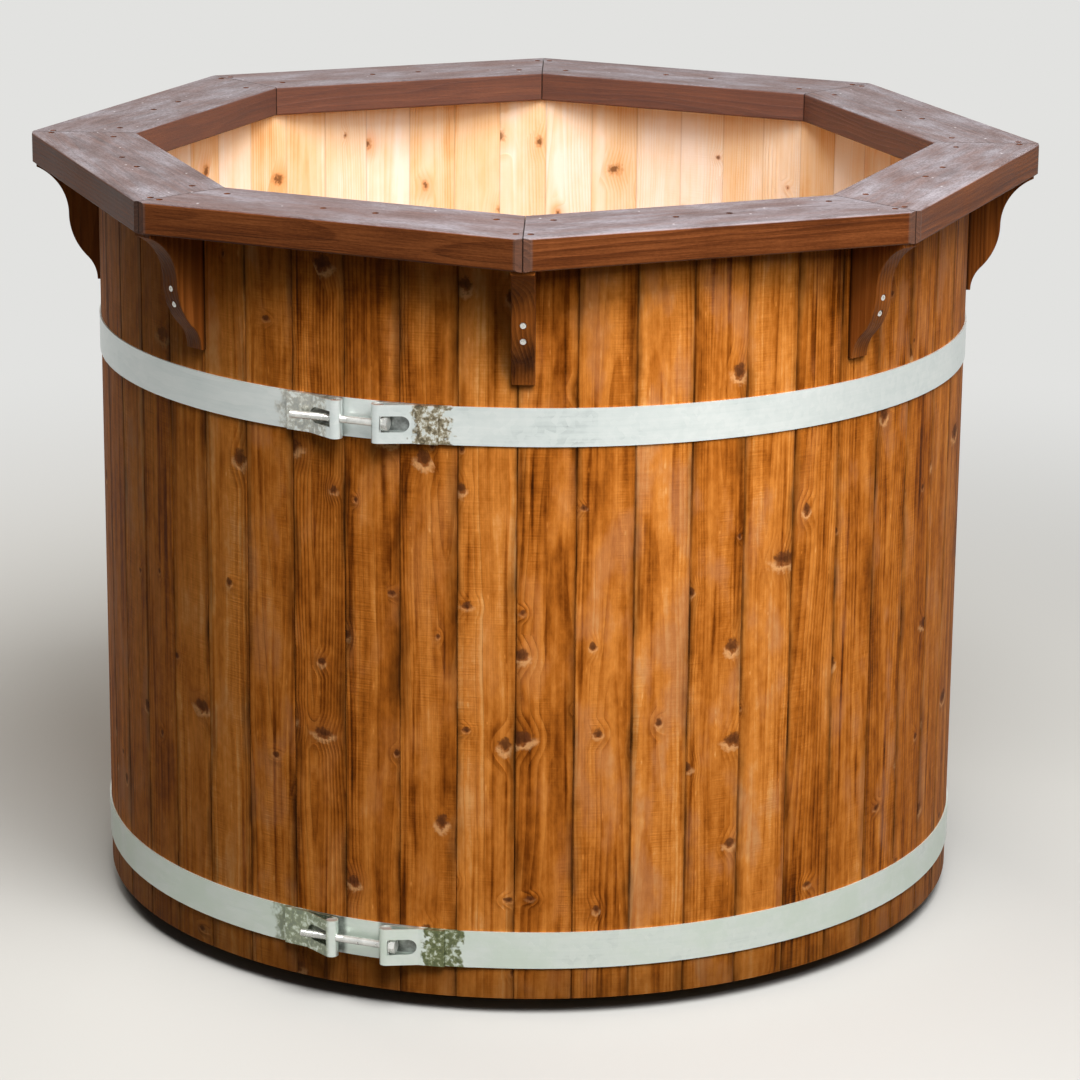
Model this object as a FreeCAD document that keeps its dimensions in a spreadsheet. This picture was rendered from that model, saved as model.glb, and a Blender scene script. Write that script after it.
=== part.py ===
"""Wooden plunge tub: coopered staves, eight-sided rim on brackets, bolted hoops, floor, bearers and drain.

Millimetres and degrees. The origin is on the ground under the middle of the tub, +Z is up, and the two
hoop clamps face the front, towards -Y. Every size is a cell of the sheet that the pieces are bound to.
"""
import FreeCAD, Part
import math
import os
import re

import Sketcher
from FreeCAD import Vector

# Counts of pieces that repeat
STAVE_SETS = 5
STAVES_PER_SET = 10
RIM_SIDES = 8
FLOOR_BOARDS = 9
BEARERS = 3

# Outermost bearers' distance from the middle, as a share of the floor's radius
BEARER_REACH = 0.614

# Driving sizes: name, value and what it measures
SIZES = [
    ("shell_radius", 600, "axis to the outer face of the staves"),
    ("stave_thickness", 42, "wall of the tub"),
    ("stave_length", 988, "bottom to top of a stave"),
    ("stave_joint_gap", 0.1, "dry joint between two staves"),
    ("stave_edge_break", 1.5, "chamfer on the outer long edges"),
    ("stave_bead_width", 14, "round bead on a stave's edge"),
    ("stave_bead_depth", 4, "how far the bead stands out"),
    ("stave_bead_clearance", 0.3, "room round the bead in its cove"),
    ("seam_turn", 2.9, "angle of the first stave joint from +X"),
    ("chime", 47, "stave bottom to the underside of the floor"),
    ("croze_depth", 12, "groove in the staves that holds the floor"),
    ("croze_clearance", 0.3, "room round the floor in its groove"),
    ("floor_thickness", 42, "floor boards"),
    ("floor_joint_gap", 0.2, "joint between two floor boards"),
    ("floor_tongue_depth", 10, "tongue on a floor board's edge"),
    ("floor_tongue_thickness", 12, "tongue on a floor board's edge"),
    ("floor_tongue_clearance", 0.3, "room round the tongue"),
    ("bearer_width", 45, "bearers under the floor"),
    ("bearer_height", 70, "ground to the underside of the floor"),
    ("bearer_end_gap", 12, "bearer end to the inner face of the staves"),
    ("rim_width", 136, "inner to outer edge of a rim board"),
    ("rim_overhang", 45, "rim's outer edge past the staves, mid-board"),
    ("rim_thickness", 42, "rim boards"),
    ("rim_mitre_gap", 0.6, "open joint at a mitre"),
    ("rim_corner_flat", 19, "blunted outer corner of the ring"),
    ("rim_edge_round", 3, "eased edges of the rim boards"),
    ("bracket_width", 30, "bracket across"),
    ("bracket_height", 162, "bracket's foot to the rim"),
    ("bracket_setback", 6, "bracket's tip behind the rim's blunt corner"),
    ("bracket_tip", 5, "upright end of the bracket's tip"),
    ("bracket_foot", 7, "flat foot of the bracket"),
    ("bracket_cove_radius", 45, "hollow above the foot"),
    ("bracket_belly_radius", 85, "swelling above the hollow"),
    ("bracket_edge_round", 1.5, "eased edges of the curved front"),
    ("screw_radius", 2.5, "rim and bracket screws"),
    ("screw_head_radius", 4.2, "rim and bracket screws"),
    ("screw_head_height", 3.2, "rim and bracket screws"),
    ("screw_clearance", 0.3, "room round a screw in its drilled hole"),
    ("bracket_screw_height", 63, "bracket's foot to the lower screw"),
    ("bracket_screw_spacing", 21, "between the two screws of a bracket"),
    ("bracket_screw_sink", 0.6, "head below the bracket's face"),
    ("bracket_screw_bite", 28, "length held by the stave"),
    ("rim_screw_sink", 3, "head below the rim's top"),
    ("rim_screw_bite", 50, "length held by a stave's top"),
    ("rim_screw_tip_bite", 13, "length held by a bracket's tip"),
    ("rim_screw_middle_turn", 3.6, "angle of the middle pair from mid-board"),
    ("rim_screw_end_turn", 19, "angle of the end pair from mid-board"),
    ("rim_screw_mitre_inset", 9, "screw into the bracket, off the mitre"),
    ("rim_screw_tip_inset", 21, "screw into the bracket, behind its tip"),
    ("bearer_screw_radius", 3, "screws up through the bearers"),
    ("bearer_screw_head_radius", 5.5, "screws up through the bearers"),
    ("bearer_screw_head_height", 4, "screws up through the bearers"),
    ("bearer_screw_sink", 20, "head above the bearer's underside"),
    ("bearer_screw_bite", 28, "length held by the floor"),
    ("hoop_width", 50, "galvanised strip"),
    ("hoop_thickness", 2, "galvanised strip"),
    ("hoop_clearance", 0.2, "between metal and wood and between laps"),
    ("hoop_lap", 90, "tongue of the hoop under its lapped end"),
    ("upper_hoop_gap", 31, "bracket's foot to the upper hoop"),
    ("clamp_turn", 250, "angle of both clamps from +X"),
    ("upper_clamp_gap", 41, "between the folded lugs"),
    ("lower_clamp_gap", 60, "between the folded lugs"),
    ("lug_thickness", 2, "folded strip"),
    ("lug_weld_length", 34, "flat end welded to the hoop"),
    ("lug_window_margin", 16, "free window behind the slackened bolt head"),
    ("lug_window_ligament", 2, "window's end to the weld"),
    ("lug_window_clearance", 1.2, "room round head and washer in the window"),
    ("lug_nose_clearance", 0.5, "room round the bolt in the lug's nose"),
    ("pin_wall", 2, "cross pin around the bolt"),
    ("pin_clearance", 0.1, "cross pin in its folded lug"),
    ("pin_flat", 1.5, "flat milled for the washer"),
    ("pin_inset", 1, "cross pin's ends inside the strip's edges"),
    ("bolt_radius", 5, "bolt shank"),
    ("bolt_clearance", 0.08, "bolt in its bores"),
    ("bolt_head_across", 16, "across the flats of the head"),
    ("bolt_head_height", 6.4, "bolt head"),
    ("bolt_end_chamfer", 1, "bolt's free end"),
    ("bolt_travel", 9, "how far a bolt is backed off"),
    ("upper_bolt_tail", 63, "bolt past its threaded pin"),
    ("lower_bolt_tail", 44, "bolt past its threaded pin"),
    ("washer_radius", 9, "washer under the head"),
    ("washer_thickness", 2, "washer under the head"),
    ("drain_bore", 19, "radius of the water way"),
    ("drain_wall", 5, "wall of the drain's tail"),
    ("drain_lip", 16, "flange past the tail"),
    ("drain_flange_thickness", 4, "flange on the floor"),
    ("drain_gasket_thickness", 3, "gasket under the flange"),
    ("drain_hole_clearance", 1, "room round the tail in the floor"),
    ("drain_thread_clearance", 0.1, "locknut and gasket round the tail"),
    ("drain_ground_gap", 15, "tail's end above the ground"),
    ("drain_spigot_step", 1.5, "plain spigot inside the thread's radius"),
    ("drain_spigot_length", 38, "plain spigot below the thread"),
    ("drain_nut_wall", 11, "locknut past the tail, at its flats"),
    ("drain_nut_thickness", 12, "locknut under the floor"),
    ("plug_clearance", 0.3, "plug in the bore"),
    ("plug_stem", 18, "plug below its cap"),
    ("plug_lip", 8, "cap past the bore"),
    ("plug_cap_thickness", 5, "cap of the plug"),
    ("plug_seal_thickness", 2.5, "seal under the cap"),
    ("plug_neck_radius", 6, "neck under the knob"),
    ("plug_neck_height", 10, "neck under the knob"),
    ("plug_knob_radius", 13, "knob to lift the plug by"),
    ("plug_knob_height", 9, "knob to lift the plug by"),
]

doc = FreeCAD.newDocument("plunge_tub")
sheet = doc.addObject("Spreadsheet::Sheet", "sizes")
for row, (name, number, note) in enumerate(SIZES, start=1):
    sheet.set(f"A{row}", note)
    sheet.set(f"B{row}", str(number))
    sheet.setAlias(f"B{row}", name)
doc.recompute()

NAMES = {name for name, number, note in SIZES}
PIECES = []


# Formulas: text in the sheet's own names
def formula(text):
    """The formula with each size's name pointed at its cell."""
    return re.sub(r"[a-z_]+", lambda word: f"sizes.{word[0]}" if word[0] in NAMES else word[0], text)


def amount(text):
    """The number that a formula gives with the sheet as it stands."""
    result = sheet.evalExpression(formula(text))
    return float(getattr(result, "Value", result))


def polar(radius, angle):
    """A corner at a radius and an angle, as a pair of formulas."""
    return f"({radius}) * cos({angle})", f"({radius}) * sin({angle})"


def on_circle(radius, across):
    """A corner on a circle round the axis, at a distance across from +X."""
    return f"sqrt(({radius}) ^ 2 - ({across}) ^ 2)", across


# Sketches: corners and circles whose every place is a formula
def constrain(sketch, text, kind, *where):
    """A dimension that follows a formula."""
    index = sketch.addConstraint(Sketcher.Constraint(kind, *where, amount(text)))
    sketch.setExpression(f"Constraints[{index}]", formula(text))


def locate(sketch, edge, end, corner):
    """Holds one end of an edge at a corner."""
    for kind, axis, text in (("DistanceX", -2, corner[0]), ("DistanceY", -1, corner[1])):
        if text == "0":
            sketch.addConstraint(Sketcher.Constraint("PointOnObject", edge, end, axis))
        else:
            constrain(sketch, text, kind, -1, 1, edge, end)


def arc_between(start, finish, radius, turn, far):
    """An arc that goes left (turn 1) or right (turn -1), the long way round where far is true."""
    chord = finish - start
    side = Vector(-chord.y, chord.x, 0).normalize() * turn
    height = math.sqrt(radius ** 2 - chord.Length ** 2 / 4)
    centre = (start + finish) / 2 + side * (-height if far else height)
    first, last = (start, finish) if turn > 0 else (finish, start)
    angles = [math.atan2(p.y - centre.y, p.x - centre.x) for p in (first, last)]
    return Part.ArcOfCircle(Part.Circle(centre, Vector(0, 0, 1), radius), *angles)


def outline(sketch, corners, arcs=None):
    """A closed outline. arcs gives an edge's radius, turn and whether it goes the long way round."""
    arcs = arcs or {}
    points = [Vector(amount(x), amount(y), 0) for x, y in corners]
    edges = []
    for index, start in enumerate(points):
        finish = points[(index + 1) % len(points)]
        if index in arcs:
            radius, turn, far = arcs[index]
            edge = sketch.addGeometry(arc_between(start, finish, amount(radius), turn, far))
            edges.append((edge, 1, 2) if turn > 0 else (edge, 2, 1))
        else:
            edges.append((sketch.addGeometry(Part.LineSegment(start, finish)), 1, 2))
    for index, (edge, start, finish) in enumerate(edges):
        follower, follower_start, _ = edges[(index + 1) % len(edges)]
        sketch.addConstraint(Sketcher.Constraint("Coincident", edge, finish, follower, follower_start))
        locate(sketch, edge, start, corners[index])
        if index in arcs:
            constrain(sketch, arcs[index][0], "Radius", edge)


def circle(sketch, centre, radius):
    """A circle at a corner's place."""
    x, y = centre
    shape = Part.Circle(Vector(amount(x), amount(y), 0), Vector(0, 0, 1), amount(radius))
    edge = sketch.addGeometry(shape)
    locate(sketch, edge, 3, centre)
    constrain(sketch, radius, "Radius", edge)


def rectangle(sketch, low, high):
    """A rectangle from its low corner to its high one."""
    outline(sketch, [low, (high[0], low[1]), high, (low[0], high[1])])


def hexagon(sketch, centre, across):
    """A hexagon by its size across the flats, with two corners up and down."""
    x, y = centre
    spokes = [polar(f"({across}) / sqrt(3)", angle) for angle in range(30, 390, 60)]
    outline(sketch, [(f"{x} + {dx}", f"{y} + {dy}") for dx, dy in spokes])


# Bodies and the features that build them
def new_body(label, turn="0", lift="0", aside="0"):
    """A body turned about the tub's axis and lifted, or set aside along X."""
    body = doc.addObject("PartDesign::Body", label)
    body.Label = label
    body.setExpression("Placement.Rotation.Angle", formula(turn))
    body.setExpression("Placement.Base.x", formula(aside))
    body.setExpression("Placement.Base.z", formula(lift))
    PIECES.append(body)
    return body


def datum(body, role):
    """One of the body's own origin planes or axes."""
    return next(item for item in body.Origin.OriginFeatures if item.Role == role)


def new_sketch(body, role, offset="0"):
    """A sketch on an origin plane of the body, moved along the plane's normal."""
    sketch = body.newObject("Sketcher::SketchObject", f"{body.Name}_sketch")
    sketch.AttachmentSupport = [(datum(body, role), "")]
    sketch.MapMode = "FlatFace"
    sketch.setExpression("AttachmentOffset.Base.z", formula(offset))
    return sketch


def pad(body, sketch, length, side="One side", back=False):
    """Material along the sketch's normal, or against it."""
    feature = body.newObject("PartDesign::Pad", f"{body.Name}_pad")
    feature.Profile = sketch
    feature.setExpression("Length", formula(length))
    feature.SideType = side
    feature.Reversed = back
    return feature


def cut_through(body, sketch):
    """A cut through the whole body, both ways from the sketch."""
    feature = body.newObject("PartDesign::Pocket", f"{body.Name}_cut")
    feature.Profile = sketch
    feature.Type = "ThroughAll"
    feature.SideType = "Symmetric"
    return feature


def cut_ahead(body, sketch, back=False):
    """A cut through all that lies ahead of the sketch along its normal, or behind it."""
    feature = body.newObject("PartDesign::Pocket", f"{body.Name}_cut")
    feature.Profile = sketch
    feature.Type = "ThroughAll"
    feature.Reversed = not back
    return feature


def revolve(body, sketch, kind="Revolution"):
    """A full turn about the body's Z axis, added or, as a Groove, taken away."""
    feature = body.newObject(f"PartDesign::{kind}", f"{body.Name}_{kind.lower()}")
    feature.Profile = sketch
    feature.ReferenceAxis = (datum(body, "Z_Axis"), [""])
    feature.Angle = 360
    return feature


def ring_of(body, copies, sweep):
    """Copies of the whole body about its Z axis, spread over a sweep."""
    doc.recompute()
    pattern = body.newObject("PartDesign::PolarPattern", f"{body.Name}_ring")
    pattern.Originals = [item for item in body.Group if item.isDerivedFrom("PartDesign::FeatureAddSub")]
    pattern.TransformMode = "Whole shape"
    pattern.Axis = (datum(body, "Z_Axis"), [""])
    pattern.Mode = "Extent"
    pattern.setExpression("Angle", formula(sweep))
    pattern.Occurrences = copies
    body.Tip = pattern
    return pattern


def ease(body, kind, size, keep):
    """A fillet or chamfer on the edges that keep accepts."""
    doc.recompute()
    base = body.Tip
    names = [f"Edge{n}" for n, edge in enumerate(base.Shape.Edges, start=1) if keep(edge)]
    feature = body.newObject(f"PartDesign::{kind}", f"{body.Name}_{kind.lower()}")
    feature.Base = (base, names)
    feature.setExpression("Radius" if kind == "Fillet" else "Size", formula(size))
    return feature


# Levels and radii that several pieces share
inner_radius = "(shell_radius - stave_thickness)"
wall_middle = "(shell_radius - stave_thickness / 2)"
stave_foot = "(bearer_height - chime)"
stave_top = f"({stave_foot} + stave_length)"
rim_top = f"({stave_top} + rim_thickness)"
floor_top = "(bearer_height + floor_thickness)"
floor_radius = f"({inner_radius} + croze_depth - croze_clearance)"
board_pitch = f"(2 * {floor_radius} / {FLOOR_BOARDS})"
bearer_spacing = f"({2 * BEARER_REACH / (BEARERS - 1)} * {floor_radius})"
drain_place = f"({bearer_spacing} / 2)"
rim_half_turn = 180 / RIM_SIDES


# Staves: ten to a node, each with a bead that lies in its neighbour's cove
def stave_sets():
    pitch = 360 / (STAVE_SETS * STAVES_PER_SET)
    gap_turn = "stave_joint_gap / 2 / shell_radius * 180 / pi"
    break_turn = "stave_edge_break / shell_radius * 180 / pi"
    first = f"({gap_turn})"
    last = f"({pitch} - {gap_turn})"
    face = "shell_radius - stave_edge_break"
    bead = "stave_bead_width / 2"
    cove = "(stave_bead_width / 2 + stave_bead_clearance)"
    cove_depth = "(stave_bead_depth + stave_bead_clearance)"
    corners = [
        polar(face, first),
        polar("shell_radius", f"{first} + {break_turn}"),
        polar("shell_radius", f"{last} - {break_turn}"),
        polar(face, last),
        polar(f"{wall_middle} + {bead}", last),
        polar(f"{wall_middle} - {bead}", last),
        polar(inner_radius, last),
        polar(inner_radius, first),
        polar(f"{wall_middle} - {cove}", first),
        polar(f"{wall_middle} + {cove}", first),
    ]
    arcs = {
        1: ("shell_radius", 1, False),
        4: (f"(({bead}) ^ 2 + stave_bead_depth ^ 2) / (2 * stave_bead_depth)", 1, False),
        6: (inner_radius, -1, False),
        8: (f"({cove} ^ 2 + {cove_depth} ^ 2) / (2 * {cove_depth})", -1, False),
    }
    for number in range(STAVE_SETS):
        turn = f"seam_turn + {number * STAVES_PER_SET * pitch}"
        body = new_body(f"stave_set_{number + 1}", turn, stave_foot)
        section = new_sketch(body, "XY_Plane")
        outline(section, corners, arcs)
        pad(body, section, "stave_length")
        croze = new_sketch(body, "XZ_Plane")
        low = (f"{inner_radius} - croze_depth", "chime - croze_clearance")
        rectangle(croze, low, (f"{inner_radius} + croze_depth", "chime + floor_thickness + croze_clearance"))
        revolve(body, croze, "Groove")
        ring_of(body, STAVES_PER_SET, str(pitch * (STAVES_PER_SET - 1)))


# Floor: tongue-and-groove boards cut to a disc that lies in the croze
def floor_boards():
    middle = "(floor_thickness / 2)"
    tongue = "(floor_tongue_thickness / 2)"
    slot = "(floor_tongue_thickness / 2 + floor_tongue_clearance)"
    slot_depth = "(floor_tongue_depth + floor_tongue_clearance)"
    for number in range(FLOOR_BOARDS):
        body = new_body(f"floor_board_{number + 1}", lift="bearer_height")
        first = number == 0
        last = number == FLOOR_BOARDS - 1
        near = f"(-{floor_radius} + {number} * {board_pitch} + floor_joint_gap / 2)"
        far = f"(-{floor_radius} + {number + 1} * {board_pitch} - floor_joint_gap / 2)"
        slot_end = f"{near} + {slot_depth}"
        tongue_end = f"{far} + floor_tongue_depth"
        groove = [(near, f"{middle} - {slot}"), (slot_end, f"{middle} - {slot}"),
                  (slot_end, f"{middle} + {slot}"), (near, f"{middle} + {slot}")]
        tongued = [(far, f"{middle} + {tongue}"), (tongue_end, f"{middle} + {tongue}"),
                   (tongue_end, f"{middle} - {tongue}"), (far, f"{middle} - {tongue}")]
        near_edge = f"-{floor_radius}" if first else near
        far_edge = floor_radius if last else far
        corners = [(near_edge, "0"), *([] if first else groove), (near_edge, "floor_thickness"),
                   (far_edge, "floor_thickness"), *([] if last else tongued), (far_edge, "0")]
        board = new_sketch(body, "YZ_Plane")
        outline(board, corners)
        pad(body, board, f"2 * {floor_radius}", "Symmetric")
        round_end = new_sketch(body, "XY_Plane")
        circle(round_end, ("0", "0"), floor_radius)
        circle(round_end, ("0", "0"), f"2 * {floor_radius}")
        cut_through(body, round_end)
        hole_reach = amount("drain_bore + drain_wall + drain_hole_clearance")
        if amount(near) < hole_reach and amount(far) > -hole_reach:
            hole = new_sketch(body, "XY_Plane")
            circle(hole, (drain_place, "0"), "drain_bore + drain_wall + drain_hole_clearance")
            cut_through(body, hole)


# Bearers under the floor, and the screws that come up through them
def bearer_screw_places(number):
    """Y of each screw of a bearer: one at the middle of every board that the bearer crosses."""
    reach = amount(bearer_half_length(number)) - amount("3 * bearer_screw_head_radius")
    places = [f"({board - (FLOOR_BOARDS - 1) / 2} * {board_pitch})" for board in range(FLOOR_BOARDS)]
    return [place for place in places if abs(amount(place)) < reach]


def bearer_offset(number):
    return f"({number - (BEARERS - 1) / 2} * {bearer_spacing})"


def bearer_half_length(number):
    far_corner = f"(abs({bearer_offset(number)}) + bearer_width / 2)"
    return f"(sqrt({inner_radius} ^ 2 - {far_corner} ^ 2) - bearer_end_gap)"


def bearers():
    for number in range(BEARERS):
        body = new_body(f"bearer_{number + 1}", aside=bearer_offset(number))
        half = bearer_half_length(number)
        plank = new_sketch(body, "XY_Plane")
        rectangle(plank, ("-bearer_width / 2", f"-{half}"), ("bearer_width / 2", half))
        pad(body, plank, "bearer_height")
        seat = new_sketch(body, "XY_Plane", "bearer_screw_sink + bearer_screw_head_height")
        drilled = new_sketch(body, "XY_Plane")
        for place in bearer_screw_places(number):
            circle(drilled, ("0", place), "bearer_screw_radius + screw_clearance")
            circle(seat, ("0", place), "bearer_screw_head_radius + screw_clearance")
        cut_through(body, drilled)
        cut_ahead(body, seat, back=True)


def bearer_screws():
    body = new_body("bearer_screws")
    heads = new_sketch(body, "XY_Plane", "bearer_screw_sink")
    shanks = new_sketch(body, "XY_Plane", "bearer_screw_sink + bearer_screw_head_height")
    for number in range(BEARERS):
        for place in bearer_screw_places(number):
            circle(heads, (bearer_offset(number), place), "bearer_screw_head_radius")
            circle(shanks, (bearer_offset(number), place), "bearer_screw_radius")
    pad(body, heads, "bearer_screw_head_height")
    pad(body, shanks, "bearer_height - bearer_screw_sink - bearer_screw_head_height + bearer_screw_bite")


# Rim: eight mitred boards whose outer corners are blunted
rim_outer = "(shell_radius + rim_overhang)"
rim_inner = f"({rim_outer} - rim_width)"
corner_radius = f"({rim_outer} / cos({rim_half_turn}) - rim_corner_flat / 2 * tan({rim_half_turn}))"
bracket_tip_radius = f"({corner_radius} - bracket_setback)"
rim_screw_seat = "(rim_thickness - rim_screw_sink - screw_head_height)"


def rim_screw_places():
    """Places on one board: four screws into the stave tops, then one into each of the two brackets."""
    pairs = ("rim_screw_middle_turn", "rim_screw_end_turn")
    turns = [f"{side}{turn}" for side in ("-", "") for turn in pairs]
    along = f"({bracket_tip_radius} - rim_screw_tip_inset)"
    x = f"{along} * cos({rim_half_turn}) + rim_screw_mitre_inset * sin({rim_half_turn})"
    y = f"({along} * sin({rim_half_turn}) - rim_screw_mitre_inset * cos({rim_half_turn}))"
    return [polar(wall_middle, turn) for turn in turns], [(x, f"-{y}"), (x, y)]


def rim_boards():
    half_gap = f"rim_mitre_gap / 2 / cos({rim_half_turn})"
    inner_half = f"({rim_inner} * tan({rim_half_turn}) - {half_gap})"
    outer_half = f"({rim_outer} * tan({rim_half_turn}) - rim_corner_flat / 2 / cos({rim_half_turn}))"
    blunt_x = f"{corner_radius} * cos({rim_half_turn}) + rim_mitre_gap / 2 * sin({rim_half_turn})"
    blunt_y = f"({corner_radius} * sin({rim_half_turn}) - rim_mitre_gap / 2 * cos({rim_half_turn}))"
    corners = [
        (rim_inner, f"-{inner_half}"), (blunt_x, f"-{blunt_y}"), (rim_outer, f"-{outer_half}"),
        (rim_outer, outer_half), (blunt_x, blunt_y), (rim_inner, inner_half),
    ]

    def long_edge(edge):
        ends = [vertex.Point for vertex in edge.Vertexes]
        run = ends[1] - ends[0]
        return abs(run.z) < 0.01 and abs(run.x) < 0.01

    for number in range(RIM_SIDES):
        body = new_body(f"rim_board_{number + 1}", str((2 * number + 1) * rim_half_turn), stave_top)
        board = new_sketch(body, "XY_Plane")
        outline(board, corners)
        pad(body, board, "rim_thickness")
        ease(body, "Fillet", "rim_edge_round", long_edge)
        drilled = new_sketch(body, "XY_Plane")
        seat = new_sketch(body, "XY_Plane", rim_screw_seat)
        for place in sum(rim_screw_places(), []):
            circle(drilled, place, "screw_radius + screw_clearance")
            circle(seat, place, "screw_head_radius + screw_clearance")
        cut_through(body, drilled)
        cut_ahead(body, seat)


def rim_screws():
    body = new_body("rim_screws", str(rim_half_turn), stave_top)
    for places, bite in zip(rim_screw_places(), ("rim_screw_bite", "rim_screw_tip_bite")):
        heads = new_sketch(body, "XY_Plane", rim_screw_seat)
        shanks = new_sketch(body, "XY_Plane", rim_screw_seat)
        for place in places:
            circle(heads, place, "screw_head_radius")
            circle(shanks, place, "screw_radius")
        pad(body, heads, "screw_head_height")
        pad(body, shanks, f"{rim_screw_seat} + {bite}", back=True)
    ring_of(body, RIM_SIDES, "360")


# Brackets: a hollow, a swelling and a sweep out to the tip under each corner of the rim
cove_out = "(bracket_foot + bracket_cove_radius * (1 - cos(45)))"
cove_up = "(bracket_cove_radius * sin(45))"
belly_out = f"({cove_out} + bracket_belly_radius * (1 - cos(45)))"
belly_up = f"({cove_up} + bracket_belly_radius * sin(45))"


def bracket_depth(height):
    """How far the swelling stands out from the staves at a height above the foot."""
    bulge = f"sqrt(bracket_belly_radius ^ 2 - ({height} - {belly_up}) ^ 2)"
    return f"({belly_out} - bracket_belly_radius + {bulge})"


def bracket_screw_seats():
    """Height above the bracket's foot and distance from the tub's axis of each screw's seat."""
    heights = ["bracket_screw_height", "(bracket_screw_height + bracket_screw_spacing)"]
    return [(height, f"shell_radius + {bracket_depth(height)} - bracket_screw_sink - screw_head_height")
            for height in heights]


def brackets():
    reach = f"({bracket_tip_radius} - shell_radius)"
    sweep_out = f"({reach} - {belly_out})"
    sweep_up = f"(bracket_height - bracket_tip - {belly_up})"
    corners = [
        ("shell_radius", "0"),
        ("shell_radius + bracket_foot", "0"),
        (f"shell_radius + {cove_out}", cove_up),
        (f"shell_radius + {belly_out}", belly_up),
        (bracket_tip_radius, "bracket_height - bracket_tip"),
        (bracket_tip_radius, "bracket_height"),
        ("shell_radius", "bracket_height"),
    ]
    arcs = {
        1: ("bracket_cove_radius", -1, False),
        2: ("bracket_belly_radius", 1, False),
        3: (f"({sweep_out} ^ 2 + {sweep_up} ^ 2) / (2 * {sweep_out})", -1, False),
    }

    def front_edge(edge):
        return isinstance(edge.Curve, Part.Circle)

    for number in range(RIM_SIDES):
        turn = str(2 * number * rim_half_turn)
        body = new_body(f"bracket_{number + 1}", turn, f"{stave_top} - bracket_height")
        profile = new_sketch(body, "XZ_Plane")
        outline(profile, corners, arcs)
        pad(body, profile, "bracket_width", "Symmetric")
        ease(body, "Fillet", "bracket_edge_round", front_edge)
        drilled = new_sketch(body, "YZ_Plane")
        for height, seat_radius in bracket_screw_seats():
            circle(drilled, ("0", height), "screw_radius + screw_clearance")
            seat = new_sketch(body, "YZ_Plane", seat_radius)
            circle(seat, ("0", height), "screw_head_radius + screw_clearance")
            cut_ahead(body, seat)
        cut_through(body, drilled)


def bracket_screws():
    body = new_body("bracket_screws", lift=f"{stave_top} - bracket_height")
    for height, seat_radius in bracket_screw_seats():
        head = new_sketch(body, "YZ_Plane", seat_radius)
        circle(head, ("0", height), "screw_head_radius")
        pad(body, head, "screw_head_height")
        shank = new_sketch(body, "YZ_Plane", seat_radius)
        circle(shank, ("0", height), "screw_radius")
        pad(body, shank, f"{seat_radius} - shell_radius + bracket_screw_bite", back=True)
    ring_of(body, RIM_SIDES, "360")


# Hoops: +X of each hoop's frame points out through its clamp, +Y runs along the bolt towards its head
band_inner = "(shell_radius + hoop_clearance)"
band_outer = f"({band_inner} + hoop_thickness)"
lap_inner = f"({band_outer} + hoop_clearance)"
lap_outer = f"({lap_inner} + hoop_thickness)"
pin_radius = "(bolt_radius + pin_wall)"
fold_inner = f"({pin_radius} + pin_clearance)"
fold_outer = f"({fold_inner} + lug_thickness)"
head_corner = "(bolt_head_across / sqrt(3))"
widest = f"max({head_corner}; washer_radius)"
bolt_axis = f"({lap_outer} + hoop_clearance + max({fold_outer}; {widest}))"
head_seat = f"({pin_radius} - pin_flat)"
window_half = f"({widest} + lug_window_clearance)"
window_start = f"({head_seat} - lug_window_clearance)"
window_end = f"({head_seat} + washer_thickness + bolt_head_height + bolt_travel + lug_window_margin)"
weld_start = f"({window_end} + lug_window_ligament)"
strip_middle = "(hoop_width / 2)"
upper_hoop_foot = f"({stave_top} - bracket_height - upper_hoop_gap - hoop_width)"
lower_hoop_foot = "(bearer_height + floor_thickness / 2 - hoop_width / 2)"


def hoop_band(label, foot, pin_offset):
    """One strip: its tongue runs under the clamp, and its other end ramps up over the tongue."""
    body = new_body(label, "clamp_turn", foot)
    degrees = "/ shell_radius * 180 / pi"
    ramp = f"sqrt({lap_inner} ^ 2 - {band_inner} ^ 2)"
    ramp_face = f"sqrt({lap_outer} ^ 2 - {band_outer} ^ 2)"
    end = f"({pin_offset} {degrees})"
    tongue = f"(({pin_offset} + hoop_lap) {degrees})"
    rise = f"({tongue} + ({ramp} + hoop_thickness) {degrees})"

    def up_the_ramp(radius, run):
        x = f"{radius} * cos({rise}) + {run} * sin({rise})"
        y = f"{radius} * sin({rise}) - {run} * cos({rise})"
        return x, y

    corners = [
        polar(band_inner, tongue), polar(band_inner, rise), up_the_ramp(band_inner, ramp),
        polar(lap_inner, end), polar(lap_outer, end), up_the_ramp(band_outer, ramp_face),
        polar(band_outer, rise), polar(band_outer, tongue),
    ]
    arcs = {
        0: (band_inner, -1, True),
        2: (lap_inner, -1, False),
        4: (lap_outer, 1, False),
        6: (band_outer, 1, True),
    }
    strip = new_sketch(body, "XY_Plane")
    outline(strip, corners, arcs)
    pad(body, strip, "hoop_width")


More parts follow.
